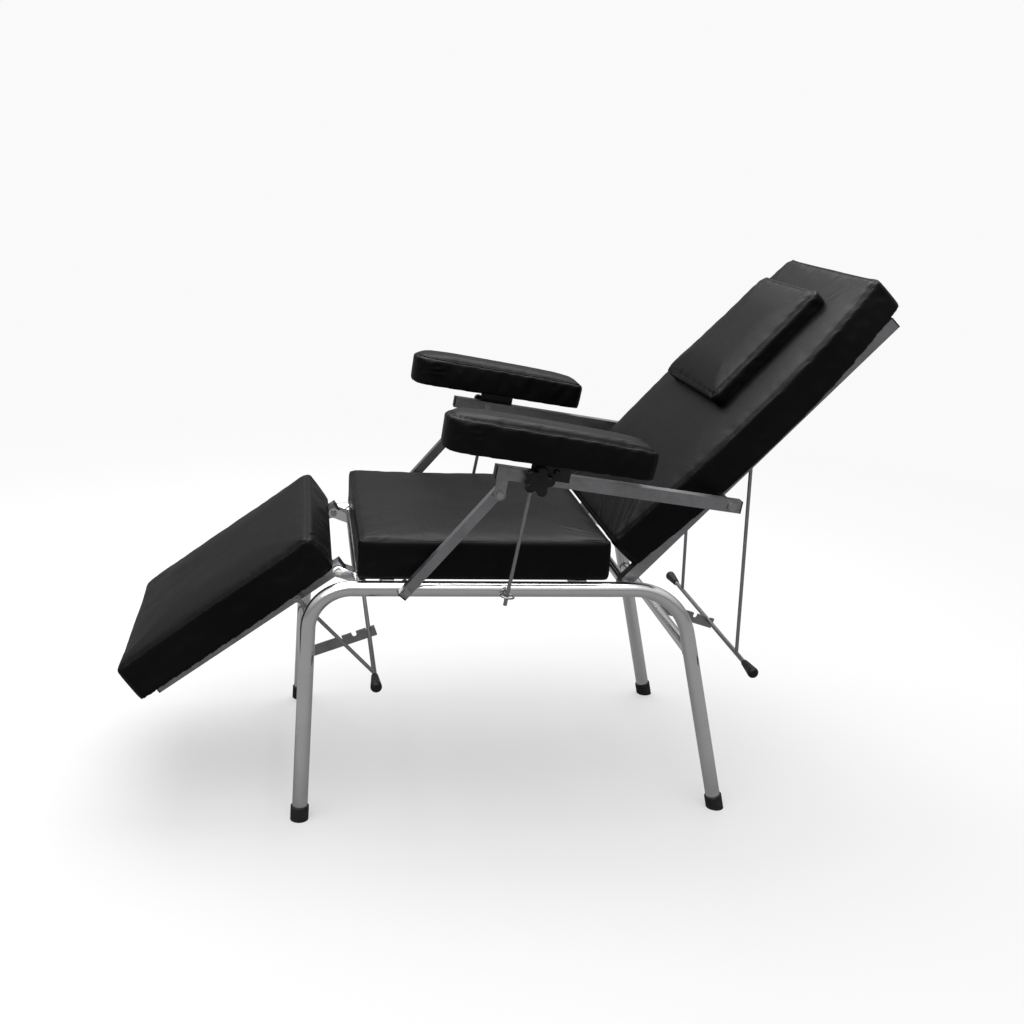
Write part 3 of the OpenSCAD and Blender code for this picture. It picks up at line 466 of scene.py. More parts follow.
def wrinkled(local, normals, shape, look, folds):
    """Moves points along their normals: a groove beside the edge seam with a gathered wave that dies away
    from it, long folds where the cover is pulled, and short puckers that fan out of the upper corners. A
    fold's section is depth times (2 t squared - 1) times the exponential of minus t squared, where t is
    the distance over the fold's width."""
    on_top = np.clip((normals[:, 2] - 0.5) / 0.3, 0, 1)
    gap = edge_distance(local, shape, look.seam_inset)
    out = -look.seam_depth * np.exp(-(gap / GROOVE_WIDTH) ** 2) * on_top
    rng = np.random.default_rng(shape["seed"])
    phase = rng.uniform(0, 2 * math.pi, 6)
    x, y = local[:, 0], local[:, 1]
    gather = (np.sin(x / 0.0052 + phase[0]) + np.sin(x / 0.0081 + 1.7 * y / 0.02 + phase[1])
              + np.sin(y / 0.0057 + phase[2]) + np.sin(y / 0.0093 + 1.3 * x / 0.02 + phase[3]))
    near = np.exp(-np.abs(gap) / GATHER_REACH) * on_top
    out += look.gather_depth * gather / 4 * near
    broad = np.sin(x / 0.045 + phase[4] + 1.2 * np.sin(y / 0.08)) * np.sin(y / 0.055 + phase[5])
    out += BROAD_DEPTH * broad * on_top
    creases = list(folds)
    for cx, sx in ((0.0, 1), (shape["length"], -1)):
        for sy in (-1, 1):
            for _ in range(PUCKERS):
                angle = rng.uniform(0.15, 1.42)
                reach = rng.uniform(0.02, 0.055)
                begin = rng.uniform(0.010, 0.020)
                heading = np.array([sx * math.cos(angle), -sy * math.sin(angle)])
                corner = np.array([cx, sy * half_width(shape, cx / shape["length"])])
                a = corner + heading * begin
                b = corner + heading * (begin + reach)
                z = shape["thick"] - shape["crown"]
                depth = rng.uniform(0.0003, 0.0008)
                creases.append(((a[0], a[1], z), (b[0], b[1], z + 0.003), depth, PUCKER_WIDTH))
    for start, end, depth, width in creases:
        distance, t = segment_distance(local, start, end)
        section = (distance / width) ** 2
        fade = np.sin(math.pi * np.clip(0.12 + 0.76 * t, 0, 1))
        out += depth * (2 * section - 1) * np.exp(-section) * fade
    return local + normals * out[:, None]


def seam_path(surface, shape, inset):
    """Points where the outline, moved in by the inset, drops straight onto the cushion's top, with the
    surface normals there."""
    low_r, high_r = (max(shape[key] - inset, SEAM_LEAST_R) for key in ("low_r", "high_r"))
    loop = plan_loop(shape, inset, low_r, high_r, 12)
    lengths = np.linalg.norm(np.roll(loop, -1, 0) - loop, axis=1)
    total = np.concatenate([[0], np.cumsum(lengths)])
    closed = np.vstack([loop, loop[:1]])
    along = np.linspace(0, total[-1], int(total[-1] / SEAM_SPACING), endpoint=False)
    xs = np.interp(along, total, closed[:, 0])
    ys = np.interp(along, total, closed[:, 1])
    points, normals = [], []
    for px, py in zip(xs, ys):
        hit, normal, _, _ = surface.ray_cast(Vector((px, py, 0.3)), Vector((0, 0, -1)))
        if hit is None:
            raise RuntimeError("the edge seam misses its cushion")
        points.append(hit)
        normals.append(normal)
    points, normals = np.array(points), np.array(normals)
    for _ in range(3):
        normals = (np.roll(normals, 1, 0) + normals + np.roll(normals, -1, 0)) / 3
        points[:, 2] = (np.roll(points[:, 2], 1) + points[:, 2] + np.roll(points[:, 2], -1)) / 3
    return points, normals


def make_cushion(name, look, side=""):
    """Makes one cushion's cover and its edge seam, and hands both to their body. A right one is the left
    one mirrored, without its last fold."""
    shape = CUSHIONS[name]
    mirror = side == "_right"
    node = shape["node"] + side
    body = shape["body"] + side
    vinyl = finish("Black vinyl")
    place = shape["place"]
    points, faces = cushion_shell(shape, look, min(look.start_inset, shape["draw_in"]))
    piece = new_piece(name + side + "_cover", moved(points, place), faces, vinyl)
    even = piece.modifiers.new("even mesh", "REMESH")
    even.mode = "VOXEL"
    even.voxel_size = shape["voxel"]
    even.adaptivity = 0.0
    bake_modifiers(piece)
    press_out(piece, place, shape, look)
    finer = piece.modifiers.new("finer", "SUBSURF")
    finer.levels = finer.render_levels = 1
    bake_modifiers(piece)
    mesh = piece.data
    mesh.materials.clear()
    mesh.materials.append(vinyl)
    back = place.inverted()
    turn = np.array(back)[:3, :3]
    local = kept_inside(moved(points_of(mesh), back), shape)
    set_points(mesh, moved(local, place))
    folds = shape["folds"]
    if mirror:
        folds = [((a[0], -a[1], a[2]), (b[0], -b[1], b[2]), d, w) for a, b, d, w in folds[:-1]]
    local = wrinkled(local, normals_of(mesh) @ turn.T, shape, look, folds)
    if mirror:
        place = Matrix.Scale(-1, 4, Vector((0, 1, 0))) @ place
    set_points(mesh, moved(local, place))
    if mirror:
        mesh.flip_normals()
    mesh.shade_smooth()
    triangles = [tuple(p.vertices) for p in mesh.polygons]
    tree = BVHTree.FromPolygons([tuple(p) for p in local], triangles)
    path, normals = seam_path(tree, shape, look.seam_inset)
    tube, quads = swept_tube(path - normals * look.seam_radius * 0.35, normals, look.seam_radius)
    seam = new_piece(name + side + "_edge_seam", moved(tube, place), quads, finish("Vinyl edge seam"))
    if mirror:
        seam.data.flip_normals()
    for item in (piece, seam):
        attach(item, body)
    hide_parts(node)


# Finishes

def finish(name):
    """The material of that name, which an earlier operator made."""
    material = bpy.data.materials.get(name)
    if material is None:
        raise RuntimeError("no finish named " + name)
    return material


def effect_group(name, inputs, outputs):
    """A shader node group with the given inputs (name, kind, default) and outputs (name, kind)."""
    tree = bpy.data.node_groups.new(name, "ShaderNodeTree")
    for label, kind, default in inputs:
        socket = tree.interface.new_socket(label, in_out="INPUT", socket_type=kind)
        if default is not None:
            socket.default_value = default
    for label, kind in outputs:
        tree.interface.new_socket(label, in_out="OUTPUT", socket_type=kind)
    return tree, tree.nodes.new("NodeGroupInput"), tree.nodes.new("NodeGroupOutput")


def put(tree, kind, **values):
    """A node with its properties set."""
    node = tree.nodes.new(kind)
    for key, value in values.items():
        setattr(node, key, value)
    return node


def feed(tree, target, value):
    """Links an output to the input, or sets the input to a value."""
    if isinstance(value, bpy.types.NodeSocket):
        tree.links.new(value, target)
    else:
        target.default_value = value


def wire(tree, node, **sockets):
    """Feeds a node's inputs, named with _ for a space, or by number as n0, n1 and so on."""
    for key, value in sockets.items():
        numbered = key[0] == "n" and key[1:].isdigit()
        feed(tree, node.inputs[int(key[1:]) if numbered else key.replace("_", " ")], value)
    return node


def noise(tree, vector, scale, detail=3.0, rough=0.5, distortion=0.0):
    """Value of a noise texture."""
    node = put(tree, "ShaderNodeTexNoise")
    wire(tree, node, Vector=vector, Scale=scale, Detail=detail, Roughness=rough, Distortion=distortion)
    return node.outputs["Fac"]


def cells(tree, vector, scale):
    """Distance to the nearest point of a cell texture."""
    node = put(tree, "ShaderNodeTexVoronoi", feature="F1")
    wire(tree, node, Vector=vector, Scale=scale)
    return node.outputs["Distance"]


def ramp(tree, value, low, high, out_low=0.0, out_high=1.0):
    """Value taken from low..high to out_low..out_high, held outside."""
    node = put(tree, "ShaderNodeMapRange")
    node.clamp = True
    wire(tree, node, Value=value, From_Min=low, From_Max=high, To_Min=out_low, To_Max=out_high)
    return node.outputs["Result"]


def maths(tree, operation, a, b):
    """Result of a Math node with two inputs."""
    node = put(tree, "ShaderNodeMath", operation=operation)
    wire(tree, node, n0=a, n1=b)
    return node.outputs[0]


def times(tree, a, b):
    """a times b."""
    return maths(tree, "MULTIPLY", a, b)


def plus(tree, a, b):
    """a plus b."""
    return maths(tree, "ADD", a, b)


def mixed(tree, share, a, b):
    """Colour mixed from a to b by the share."""
    node = put(tree, "ShaderNodeMix", data_type="RGBA")
    feed(tree, node.inputs["Factor"], share)
    for value, target in ((a, node.inputs[6]), (b, node.inputs[7])):
        feed(tree, target, (*value, 1.0) if isinstance(value, tuple) else value)
    return node.outputs[2]


def mixed_shader(tree, share, first, second, target):
    """Mixes two shaders by the share and links the mix to the target."""
    node = tree.nodes.new("ShaderNodeMixShader")
    for value, socket in zip((share, first, second), node.inputs):
        tree.links.new(value, socket)
    tree.links.new(node.outputs[0], target)


def stretched(tree, vector, scale, turn=(0.0, 0.0, 0.0)):
    """Coordinates turned and scaled along each axis."""
    node = put(tree, "ShaderNodeMapping")
    wire(tree, node, Vector=vector, Scale=scale, Rotation=turn)
    return node.outputs["Vector"]


def build_effects():
    """The groups that several finishes share."""
    vec, val = "NodeSocketVector", "NodeSocketFloat"

    # Pebbled grain: rounded cells with a finer noise, and wider soft creases
    tree, inp, out = effect_group(
        "Vinyl grain", [("Vector", vec, None), ("Cell scale", val, 700.0), ("Crease scale", val, 34.0)],
        [("Height", val), ("Mottle", val), ("Crease", val)])
    v = inp.outputs["Vector"]
    pebble = put(tree, "ShaderNodeTexVoronoi", feature="SMOOTH_F1")
    wire(tree, pebble, Vector=v, Scale=inp.outputs["Cell scale"], Smoothness=0.35)
    fine = noise(tree, v, 2600.0, 2.0)
    creased = put(tree, "ShaderNodeTexVoronoi", feature="DISTANCE_TO_EDGE")
    bent = put(tree, "ShaderNodeVectorMath", operation="ADD")
    wobble = put(tree, "ShaderNodeTexNoise")
    wire(tree, wobble, Vector=v, Scale=22.0, Detail=3.0)
    small = put(tree, "ShaderNodeVectorMath", operation="SCALE")
    wire(tree, small, n0=wobble.outputs["Color"])
    small.inputs["Scale"].default_value = 0.05
    wire(tree, bent, n0=v, n1=small.outputs[0])
    wire(tree, creased, Vector=bent.outputs[0], Scale=inp.outputs["Crease scale"])
    crease = ramp(tree, creased.outputs["Distance"], 0.0, 0.05, 1.0, 0.0)
    patch = ramp(tree, noise(tree, v, 9.0, 2.0), 0.5, 0.68)
    crease = times(tree, crease, patch)
    mottle = noise(tree, v, 6.5, 4.0, 0.6)
    height = plus(tree, pebble.outputs["Distance"], times(tree, fine, 0.25))
    height = maths(tree, "SUBTRACT", height, times(tree, crease, 0.9))
    wire(tree, out, Height=height, Mottle=mottle, Crease=crease)

    # Handling marks: cloudy smudges with thin scratches in two directions
    tree, inp, out = effect_group(
        "Handling marks", [("Vector", vec, None), ("Amount", val, 0.5), ("Scratch scale", val, 60.0)],
        [("Smudge", val), ("Scratch", val)])
    v = inp.outputs["Vector"]
    cloud = ramp(tree, noise(tree, v, 14.0, 5.0, 0.62, 0.6), 0.42, 0.72)
    lines = []
    for stretch, turn in (((0.25, 6.0, 6.0), (0.0, 0.2, 0.1)), ((6.0, 6.0, 0.3), (0.1, 0.0, 0.4))):
        seen = noise(tree, stretched(tree, v, stretch, turn), inp.outputs["Scratch scale"], 2.0, 0.5)
        lines.append(ramp(tree, seen, 0.66, 0.70))
    scratch = maths(tree, "MAXIMUM", lines[0], lines[1])
    wire(tree, out, Smudge=times(tree, cloud, inp.outputs["Amount"]),
         Scratch=times(tree, scratch, inp.outputs["Amount"]))

    # Pitting: small dull spots in the plating that gather towards the floor
    tree, inp, out = effect_group(
        "Plating pits", [("Vector", vec, None), ("Spot scale", val, 240.0), ("Floor reach", val, 0.25)],
        [("Pits", val), ("Low dirt", val)])
    v = inp.outputs["Vector"]
    apart = put(tree, "ShaderNodeSeparateXYZ")
    wire(tree, apart, Vector=v)
    dots = ramp(tree, cells(tree, v, inp.outputs["Spot scale"]), 0.10, 0.18, 1.0, 0.0)
    where = ramp(tree, noise(tree, v, 30.0, 4.0), 0.52, 0.62)
    high = ramp(tree, apart.outputs["Z"], 0.02, inp.outputs["Floor reach"], 1.0, 0.25)
    pits = times(tree, times(tree, dots, where), high)
    dirt = times(tree, ramp(tree, apart.outputs["Z"], 0.0, 0.14, 1.0, 0.0),
                noise(tree, v, 45.0, 4.0))
    wire(tree, out, Pits=pits, Low_dirt=dirt)

    # Moulded skin: faint orange peel and a spark-eroded fine texture
    tree, inp, out = effect_group(
        "Moulded skin", [("Vector", vec, None), ("Texture scale", val, 1400.0)],
        [("Height", val), ("Rub", val)])
    v = inp.outputs["Vector"]
    peel = noise(tree, v, inp.outputs["Texture scale"], 3.0)
    slow = noise(tree, v, 160.0, 2.0)
    rub = ramp(tree, noise(tree, v, 55.0, 4.0, 0.6), 0.45, 0.75)
    wire(tree, out, Height=plus(tree, peel, times(tree, slow, 0.5)), Rub=rub)


def group_node(tree, name, **sockets):
    """Outputs of a shared effect that is placed in a material with its own values."""
    node = tree.nodes.new("ShaderNodeGroup")
    node.node_tree = bpy.data.node_groups[name]
    return wire(tree, node, **sockets).outputs


def start_finish(name, **shader):
    """A new material with its Principled shader, and its Object coordinates."""
    material = bpy.data.materials.new(name)
    material.use_nodes = True
    tree = material.node_tree
    surface = tree.nodes["Principled BSDF"]
    for key, value in shader.items():
        surface.inputs[key.replace("_", " ")].default_value = value
    coordinates = tree.nodes.new("ShaderNodeTexCoord").outputs["Object"]
    return tree, surface, coordinates


def bump(tree, height, strength, distance, normal=None):
    """Normal bent by a height, on top of another normal where one is given."""
    node = put(tree, "ShaderNodeBump")
    wire(tree, node, Height=height, Strength=strength, Distance=distance)
    if normal is not None:
        tree.links.new(normal, node.inputs["Normal"])
    return node.outputs["Normal"]


def vinyl_finish(name, look, seam=False):
    """Black upholstery vinyl: pebbled grain, soft creases that catch the light, smudges where it is used."""
    tree, surface, where = start_finish(name, Specular_IOR_Level=look.vinyl_gloss)
    grain = group_node(tree, "Vinyl grain", Vector=where, Cell_scale=820.0, Crease_scale=30.0)
    marks = group_node(tree, "Handling marks", Vector=where, Amount=0.6, Scratch_scale=38.0)
    base = tuple(look.vinyl_colour)
    worn = tuple(c * 2.0 + 0.0006 for c in base)
    tone = mixed(tree, ramp(tree, grain["Mottle"], 0.35, 0.7), base, worn)
    tone = mixed(tree, times(tree, marks["Smudge"], 0.35), tone, (0.0045, 0.0043, 0.0042))
    wire(tree, surface, Base_Color=tone)
    rough = ramp(tree, grain["Mottle"], 0.3, 0.75, 0.36, 0.47)
    rough = plus(tree, rough, times(tree, marks["Smudge"], 0.10))
    rough = maths(tree, "SUBTRACT", rough, times(tree, marks["Scratch"], 0.08))
    wire(tree, surface, Roughness=rough)
    normal = bump(tree, grain["Height"], 0.35, 0.0004)
    slow = noise(tree, where, 16.0, 3.0, 0.55, 0.4)
    normal = bump(tree, slow, 0.25, 0.0008 if seam else 0.0040, normal)
    wire(tree, surface, Normal=normal)


def chrome_finish(look):
    """Chrome plate on bent tube: bright, with haze, fine scratches, pits and dirt low on the legs."""
    tree, surface, where = start_finish("Chrome plate", Metallic=1.0)
    marks = group_node(tree, "Handling marks", Vector=where, Amount=0.7, Scratch_scale=90.0)
    pits = group_node(tree, "Plating pits", Vector=where, Spot_scale=260.0, Floor_reach=0.30)
    tone = mixed(tree, times(tree, marks["Smudge"], 0.5), tuple(look.chrome_colour),
                 tuple(c * 0.80 for c in look.chrome_colour))
    tone = mixed(tree, times(tree, pits["Pits"], 0.8), tone, (0.16, 0.12, 0.09))
    tone = mixed(tree, times(tree, pits["Low dirt"], 0.5), tone, (0.20, 0.18, 0.15))
    wire(tree, surface, Base_Color=tone)
    rough = plus(tree, times(tree, marks["Smudge"], 0.14), 0.13)
    rough = plus(tree, rough, times(tree, marks["Scratch"], 0.12))
    rough = plus(tree, rough, times(tree, pits["Pits"], 0.35))
    wire(tree, surface, Roughness=rough)
    wavy = noise(tree, where, 38.0, 3.0)
    wire(tree, surface, Normal=bump(tree, wavy, 0.22, 0.0012))


def satin_finish(name, colour, rough_low, rough_high, marks_amount):
    """Satin plated steel: drawn streaks, cloudy tone and bright rubbed scratches."""
    tree, surface, where = start_finish(name, Metallic=1.0)
    marks = group_node(tree, "Handling marks", Vector=where, Amount=marks_amount, Scratch_scale=120.0)
    pits = group_node(tree, "Plating pits", Vector=where, Spot_scale=320.0, Floor_reach=1.0)
    cloud = noise(tree, where, 24.0, 5.0, 0.6)
    streak = noise(tree, stretched(tree, where, (1.0, 14.0, 3.0), (0.0, 0.35, 0.0)), 70.0, 4.0)
    both = plus(tree, times(tree, cloud, 0.6), times(tree, streak, 0.4))
    tone = mixed(tree, ramp(tree, both, 0.35, 0.65), tuple(c * 0.72 for c in colour), colour)
    tone = mixed(tree, times(tree, pits["Pits"], 0.55), tone, (0.10, 0.08, 0.07))
    tone = mixed(tree, times(tree, marks["Scratch"], 0.5), tone, tuple(
        min(1.0, c * 1.35) for c in colour))
    wire(tree, surface, Base_Color=tone)
    rough = ramp(tree, both, 0.35, 0.65, rough_high, rough_low)
    wire(tree, surface, Roughness=plus(tree, rough, times(tree, marks["Smudge"], 0.10)))
    wire(tree, surface, Normal=bump(tree, streak, 0.12, 0.0004))


def moulded_finish(name, colour, rough, peel, gloss, dusty):
    """Moulded black plastic or rubber with a fine skin, rubbed places and a little dust."""
    tree, surface, where = start_finish(name, Specular_IOR_Level=gloss)
    skin = group_node(tree, "Moulded skin", Vector=where, Texture_scale=peel)
    marks = group_node(tree, "Handling marks", Vector=where, Amount=0.6, Scratch_scale=150.0)
    tone = mixed(tree, skin["Rub"], colour, tuple(c * 1.9 + 0.002 for c in colour))
    tone = mixed(tree, times(tree, marks["Smudge"], dusty), tone, (0.16, 0.15, 0.14))
    wire(tree, surface, Base_Color=tone)
    edge = plus(tree, times(tree, skin["Rub"], -0.10), rough)
    wire(tree, surface, Roughness=plus(tree, edge, times(tree, marks["Smudge"], 0.12)))
    wire(tree, surface, Normal=bump(tree, skin["Height"], 0.3, 0.00025))


def plywood_finish(name, degrees):
    """Plain plywood, grained along the board and turned with it: pores and bands of growth."""
    tree, surface, where = start_finish(name, Roughness=0.6)
    flat = stretched(tree, where, (1.0, 1.0, 1.0), (0.0, math.radians(degrees), 0.0))
    long = stretched(tree, flat, (1.2, 22.0, 22.0))
    bands = noise(tree, long, 3.0, 6.0, 0.6, 0.7)
    pores = ramp(tree, noise(tree, stretched(tree, flat, (6.0, 160.0, 160.0)), 6.0, 2.0), 0.58, 0.66)
    marks = group_node(tree, "Handling marks", Vector=where, Amount=0.5, Scratch_scale=40.0)
    tone = mixed(tree, ramp(tree, bands, 0.35, 0.65), (0.44, 0.29, 0.16), (0.64, 0.47, 0.29))
    tone = mixed(tree, times(tree, pores, 0.5), tone, (0.24, 0.14, 0.07))
    tone = mixed(tree, times(tree, marks["Smudge"], 0.4), tone, (0.28, 0.22, 0.16))
    wire(tree, surface, Base_Color=tone)
    wire(tree, surface, Roughness=ramp(tree, bands, 0.3, 0.7, 0.72, 0.55))
    wire(tree, surface, Normal=bump(tree, pores, 0.25, 0.0003))


def dress(nodes, material):
    """Puts a finish in the material slot of each CAD node."""
    for name in nodes:
        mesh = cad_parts[name].data
        mesh.materials.clear()
        mesh.materials.append(material)


# Weld beads

def bead_path(tube_r, post_r, lean, steps=40):
    """Where a cross tube meets a leaning round post. At each angle round the tube the bead lies on the
    tube's surface, at the depth of the post's round side, the root of its radius squared less the offset
    squared."""
    angle = np.linspace(0, 2 * math.pi, steps, endpoint=False)
    x = tube_r * np.cos(angle)
    z = tube_r * np.sin(angle)
    off = x * math.cos(lean) + z * math.sin(lean)
    depth = np.sqrt(np.maximum(post_r ** 2 - off ** 2, 0.0))
    return np.stack([x, depth, z], 1), angle


def bead_piece(name, spots, material):
    """Weld beads as tubes along the meeting curves, each with a ripple of one scale every few degrees."""
    all_points, all_quads, base = [], [], 0
    for centre, tube_r, lean in spots:
        for sign in (-1, 1):
            path, angle = bead_path(tube_r + BEAD_PROUD, POST_R + BEAD_PROUD, lean)
            path = path * [1, -1, 1] + [0, centre[1], 0]
            path = (path + [centre[0], 0, centre[2]]) * [1, sign, 1]
            outward = np.stack([np.cos(angle), -sign * 0.8 * np.ones_like(angle), np.sin(angle)], 1)
            radius = BEAD_R + BEAD_RIPPLE * np.sin(angle * 17 + centre[0] * 40)
            points, quads = swept_tube(path, outward, radius[:, None, None])
            if sign < 0:
                quads = [q[::-1] for q in quads]
            all_points.append(points)
            all_quads += [[base + i for i in q] for q in quads]
            base += len(points)
    return new_piece(name, np.concatenate(all_points), all_quads, material)


# What a user may change

class ChairLook(bpy.types.PropertyGroup):
    """Sizes and colours of the cushions and the metal."""
    vinyl_colour: bpy.props.FloatVectorProperty(
        name="Vinyl colour", description="Colour of the cushions' vinyl", subtype="COLOR", size=3,
        default=(0.0009, 0.0009, 0.0012), min=0.0, max=1.0)
    vinyl_gloss: bpy.props.FloatProperty(
        name="Vinyl gloss", description="Specular level of the vinyl", default=0.11, min=0.0, max=1.0)
    chrome_colour: bpy.props.FloatVectorProperty(
        name="Chrome colour", description="Colour of the plated tubes", subtype="COLOR", size=3,
        default=(0.80, 0.80, 0.81), min=0.0, max=1.0)
    satin_colour: bpy.props.FloatVectorProperty(
        name="Satin colour", description="Colour of the square bars", subtype="COLOR", size=3,
        default=(0.34, 0.34, 0.352), min=0.0, max=1.0)
    edge_radius: bpy.props.FloatProperty(
        name="Edge radius", description="Rounding of the cushions' upper edges", default=0.006, min=0.003,
        max=0.02, unit="LENGTH")
    start_inset: bpy.props.FloatProperty(
        name="Start inset", description="How much smaller a cushion starts before it swells", default=0.0005,
        min=0.0, max=0.01, unit="LENGTH")
    pressure: bpy.props.FloatProperty(
        name="Pressure", description="Inner pressure that swells the covers", default=4.0, min=0.0, max=20.0)
    slack: bpy.props.FloatProperty(
        name="Slack", description="Share by which a cover is larger than its filling", default=0.012,
        min=0.0, max=0.1)
    looseness: bpy.props.FloatProperty(
        name="Looseness", description="Share of the cloth's movement that the covers keep", default=0.45,
        min=0.0, max=1.0)
    fill: bpy.props.FloatProperty(
        name="Fill", description="How full the cushions are", default=0.9, min=0.0, max=1.0)
    seam_inset: bpy.props.FloatProperty(
        name="Seam inset", description="Distance of the edge seam from the outline", default=0.010,
        min=0.004, max=0.03, unit="LENGTH")
    seam_radius: bpy.props.FloatProperty(
        name="Seam radius", description="Radius of the raised edge seam", default=0.0014, min=0.0005,
        max=0.004, unit="LENGTH")
    seam_depth: bpy.props.FloatProperty(
        name="Seam depth", description="Depth of the groove beside the edge seam", default=0.0016, min=0.0,
        max=0.006, unit="LENGTH")
    gather_depth: bpy.props.FloatProperty(
        name="Gather depth", description="Height of the small waves along the seam", default=0.0004, min=0.0,
        max=0.004, unit="LENGTH")


class StageLook(bpy.types.PropertyGroup):
    """Floor, light and camera."""
    floor_colour: bpy.props.FloatVectorProperty(
        name="Floor colour", description="Colour of the plain floor", subtype="COLOR", size=3,
        default=(0.52, 0.52, 0.525), min=0.0, max=1.0)
    sun_power: bpy.props.FloatProperty(
        name="Sun", description="Strength of the soft key light", default=2.3, min=0.0, max=20.0)
    overhead_power: bpy.props.FloatProperty(
        name="Overhead", description="Power of the wide overhead light", default=150.0, min=0.0, max=2000.0,
        unit="POWER")
    lens: bpy.props.FloatProperty(
        name="Lens", description="Focal length of the camera", default=42.856, min=10.0, max=300.0,
        unit="CAMERA")


# Operators

class CHAIR_OT_finishes(bpy.types.Operator):
    """Build the finishes and put them on the chair's metal, plastic, rubber and wood"""
    bl_idname = "chair.finishes"
    bl_label = "Finishes"

    def execute(self, context):
        look = context.scene.chair_look
        build_effects()
        vinyl_finish("Black vinyl", look)
        vinyl_finish("Vinyl edge seam", look, seam=True)
        chrome_finish(look)
        satin_finish("Satin square bar", tuple(look.satin_colour), 0.28, 0.44, 0.7)
        satin_finish("Zinc bolt", (0.46, 0.45, 0.43), 0.22, 0.36, 0.5)
        satin_finish("Drawn rod", (0.36, 0.36, 0.375), 0.26, 0.40, 0.6)
        satin_finish("Weld bead", (0.36, 0.34, 0.32), 0.30, 0.50, 0.5)
        moulded_finish("Black plastic", (0.003, 0.003, 0.0035), 0.42, 900.0, 0.3, 0.04)
        moulded_finish("Black rubber", (0.006, 0.006, 0.006), 0.66, 600.0, 0.3, 0.15)
        moulded_finish("Black lacquer", (0.005, 0.005, 0.006), 0.34, 320.0, 0.4, 0.08)
        dress(PLATED, finish("Chrome plate"))
        dress(SQUARE_BARS, finish("Satin square bar"))
        dress(RODS, finish("Drawn rod"))
        dress(BOLTS, finish("Zinc bolt"))
        dress(MOULDED, finish("Black plastic"))
        dress(FEET, finish("Black rubber"))
        dress(BRACKETS, finish("Black lacquer"))
        for board, place in BOARDS.items():
            plywood_finish("Plywood of " + board, place[2])
            dress([board], finish("Plywood of " + board))
        return {"FINISHED"}


class CHAIR_OT_seat(bpy.types.Operator):
    """Make the seat cushion"""
    bl_idname = "chair.seat"
    bl_label = "Seat cushion"

    def execute(self, context):
        make_cushion("seat", context.scene.chair_look)
        return {"FINISHED"}


class CHAIR_OT_leg_rest(bpy.types.Operator):
    """Make the leg rest cushion"""
    bl_idname = "chair.leg_rest"
    bl_label = "Leg rest cushion"

    def execute(self, context):
        make_cushion("leg_rest", context.scene.chair_look)
        return {"FINISHED"}


class CHAIR_OT_backrest(bpy.types.Operator):
    """Make the backrest cushion"""
    bl_idname = "chair.backrest"
    bl_label = "Backrest cushion"

    def execute(self, context):
        make_cushion("backrest", context.scene.chair_look)
        return {"FINISHED"}


class CHAIR_OT_pillow(bpy.types.Operator):
    """Make the head pillow"""
    bl_idname = "chair.pillow"
    bl_label = "Head pillow"

    def execute(self, context):
        make_cushion("pillow", context.scene.chair_look)
        return {"FINISHED"}


class CHAIR_OT_arm_pads(bpy.types.Operator):
    """Make both arm pads"""
    bl_idname = "chair.arm_pads"
    bl_label = "Arm pads"

    def execute(self, context):
        for side in ("_left", "_right"):
            make_cushion("arm_pad", context.scene.chair_look, side)
        return {"FINISHED"}


class CHAIR_OT_weld_beads(bpy.types.Operator):
    """Make the weld beads where the cross tubes meet the side frames"""
    bl_idname = "chair.weld_beads"
    bl_label = "Weld beads"

    def execute(self, context):
        spots = [
            ((-0.255 - CENTRE_X, RAIL_Y, 0.506), CROSS_R, math.pi / 2),
            ((0.306 - CENTRE_X, RAIL_Y, 0.502), HINGE_TUBE_R, math.pi / 2),
            ((-0.363383 - CENTRE_X, RAIL_Y + 0.261 * SPLAY, 0.245), CROSS_R, -FRONT_LEAN),
            ((0.449689 - CENTRE_X, RAIL_Y + 0.142 * SPLAY, 0.364), CROSS_R, REAR_LEAN),
        ]
        piece = bead_piece("weld_beads", spots, finish("Weld bead"))
        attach(piece, "base")
        return {"FINISHED"}


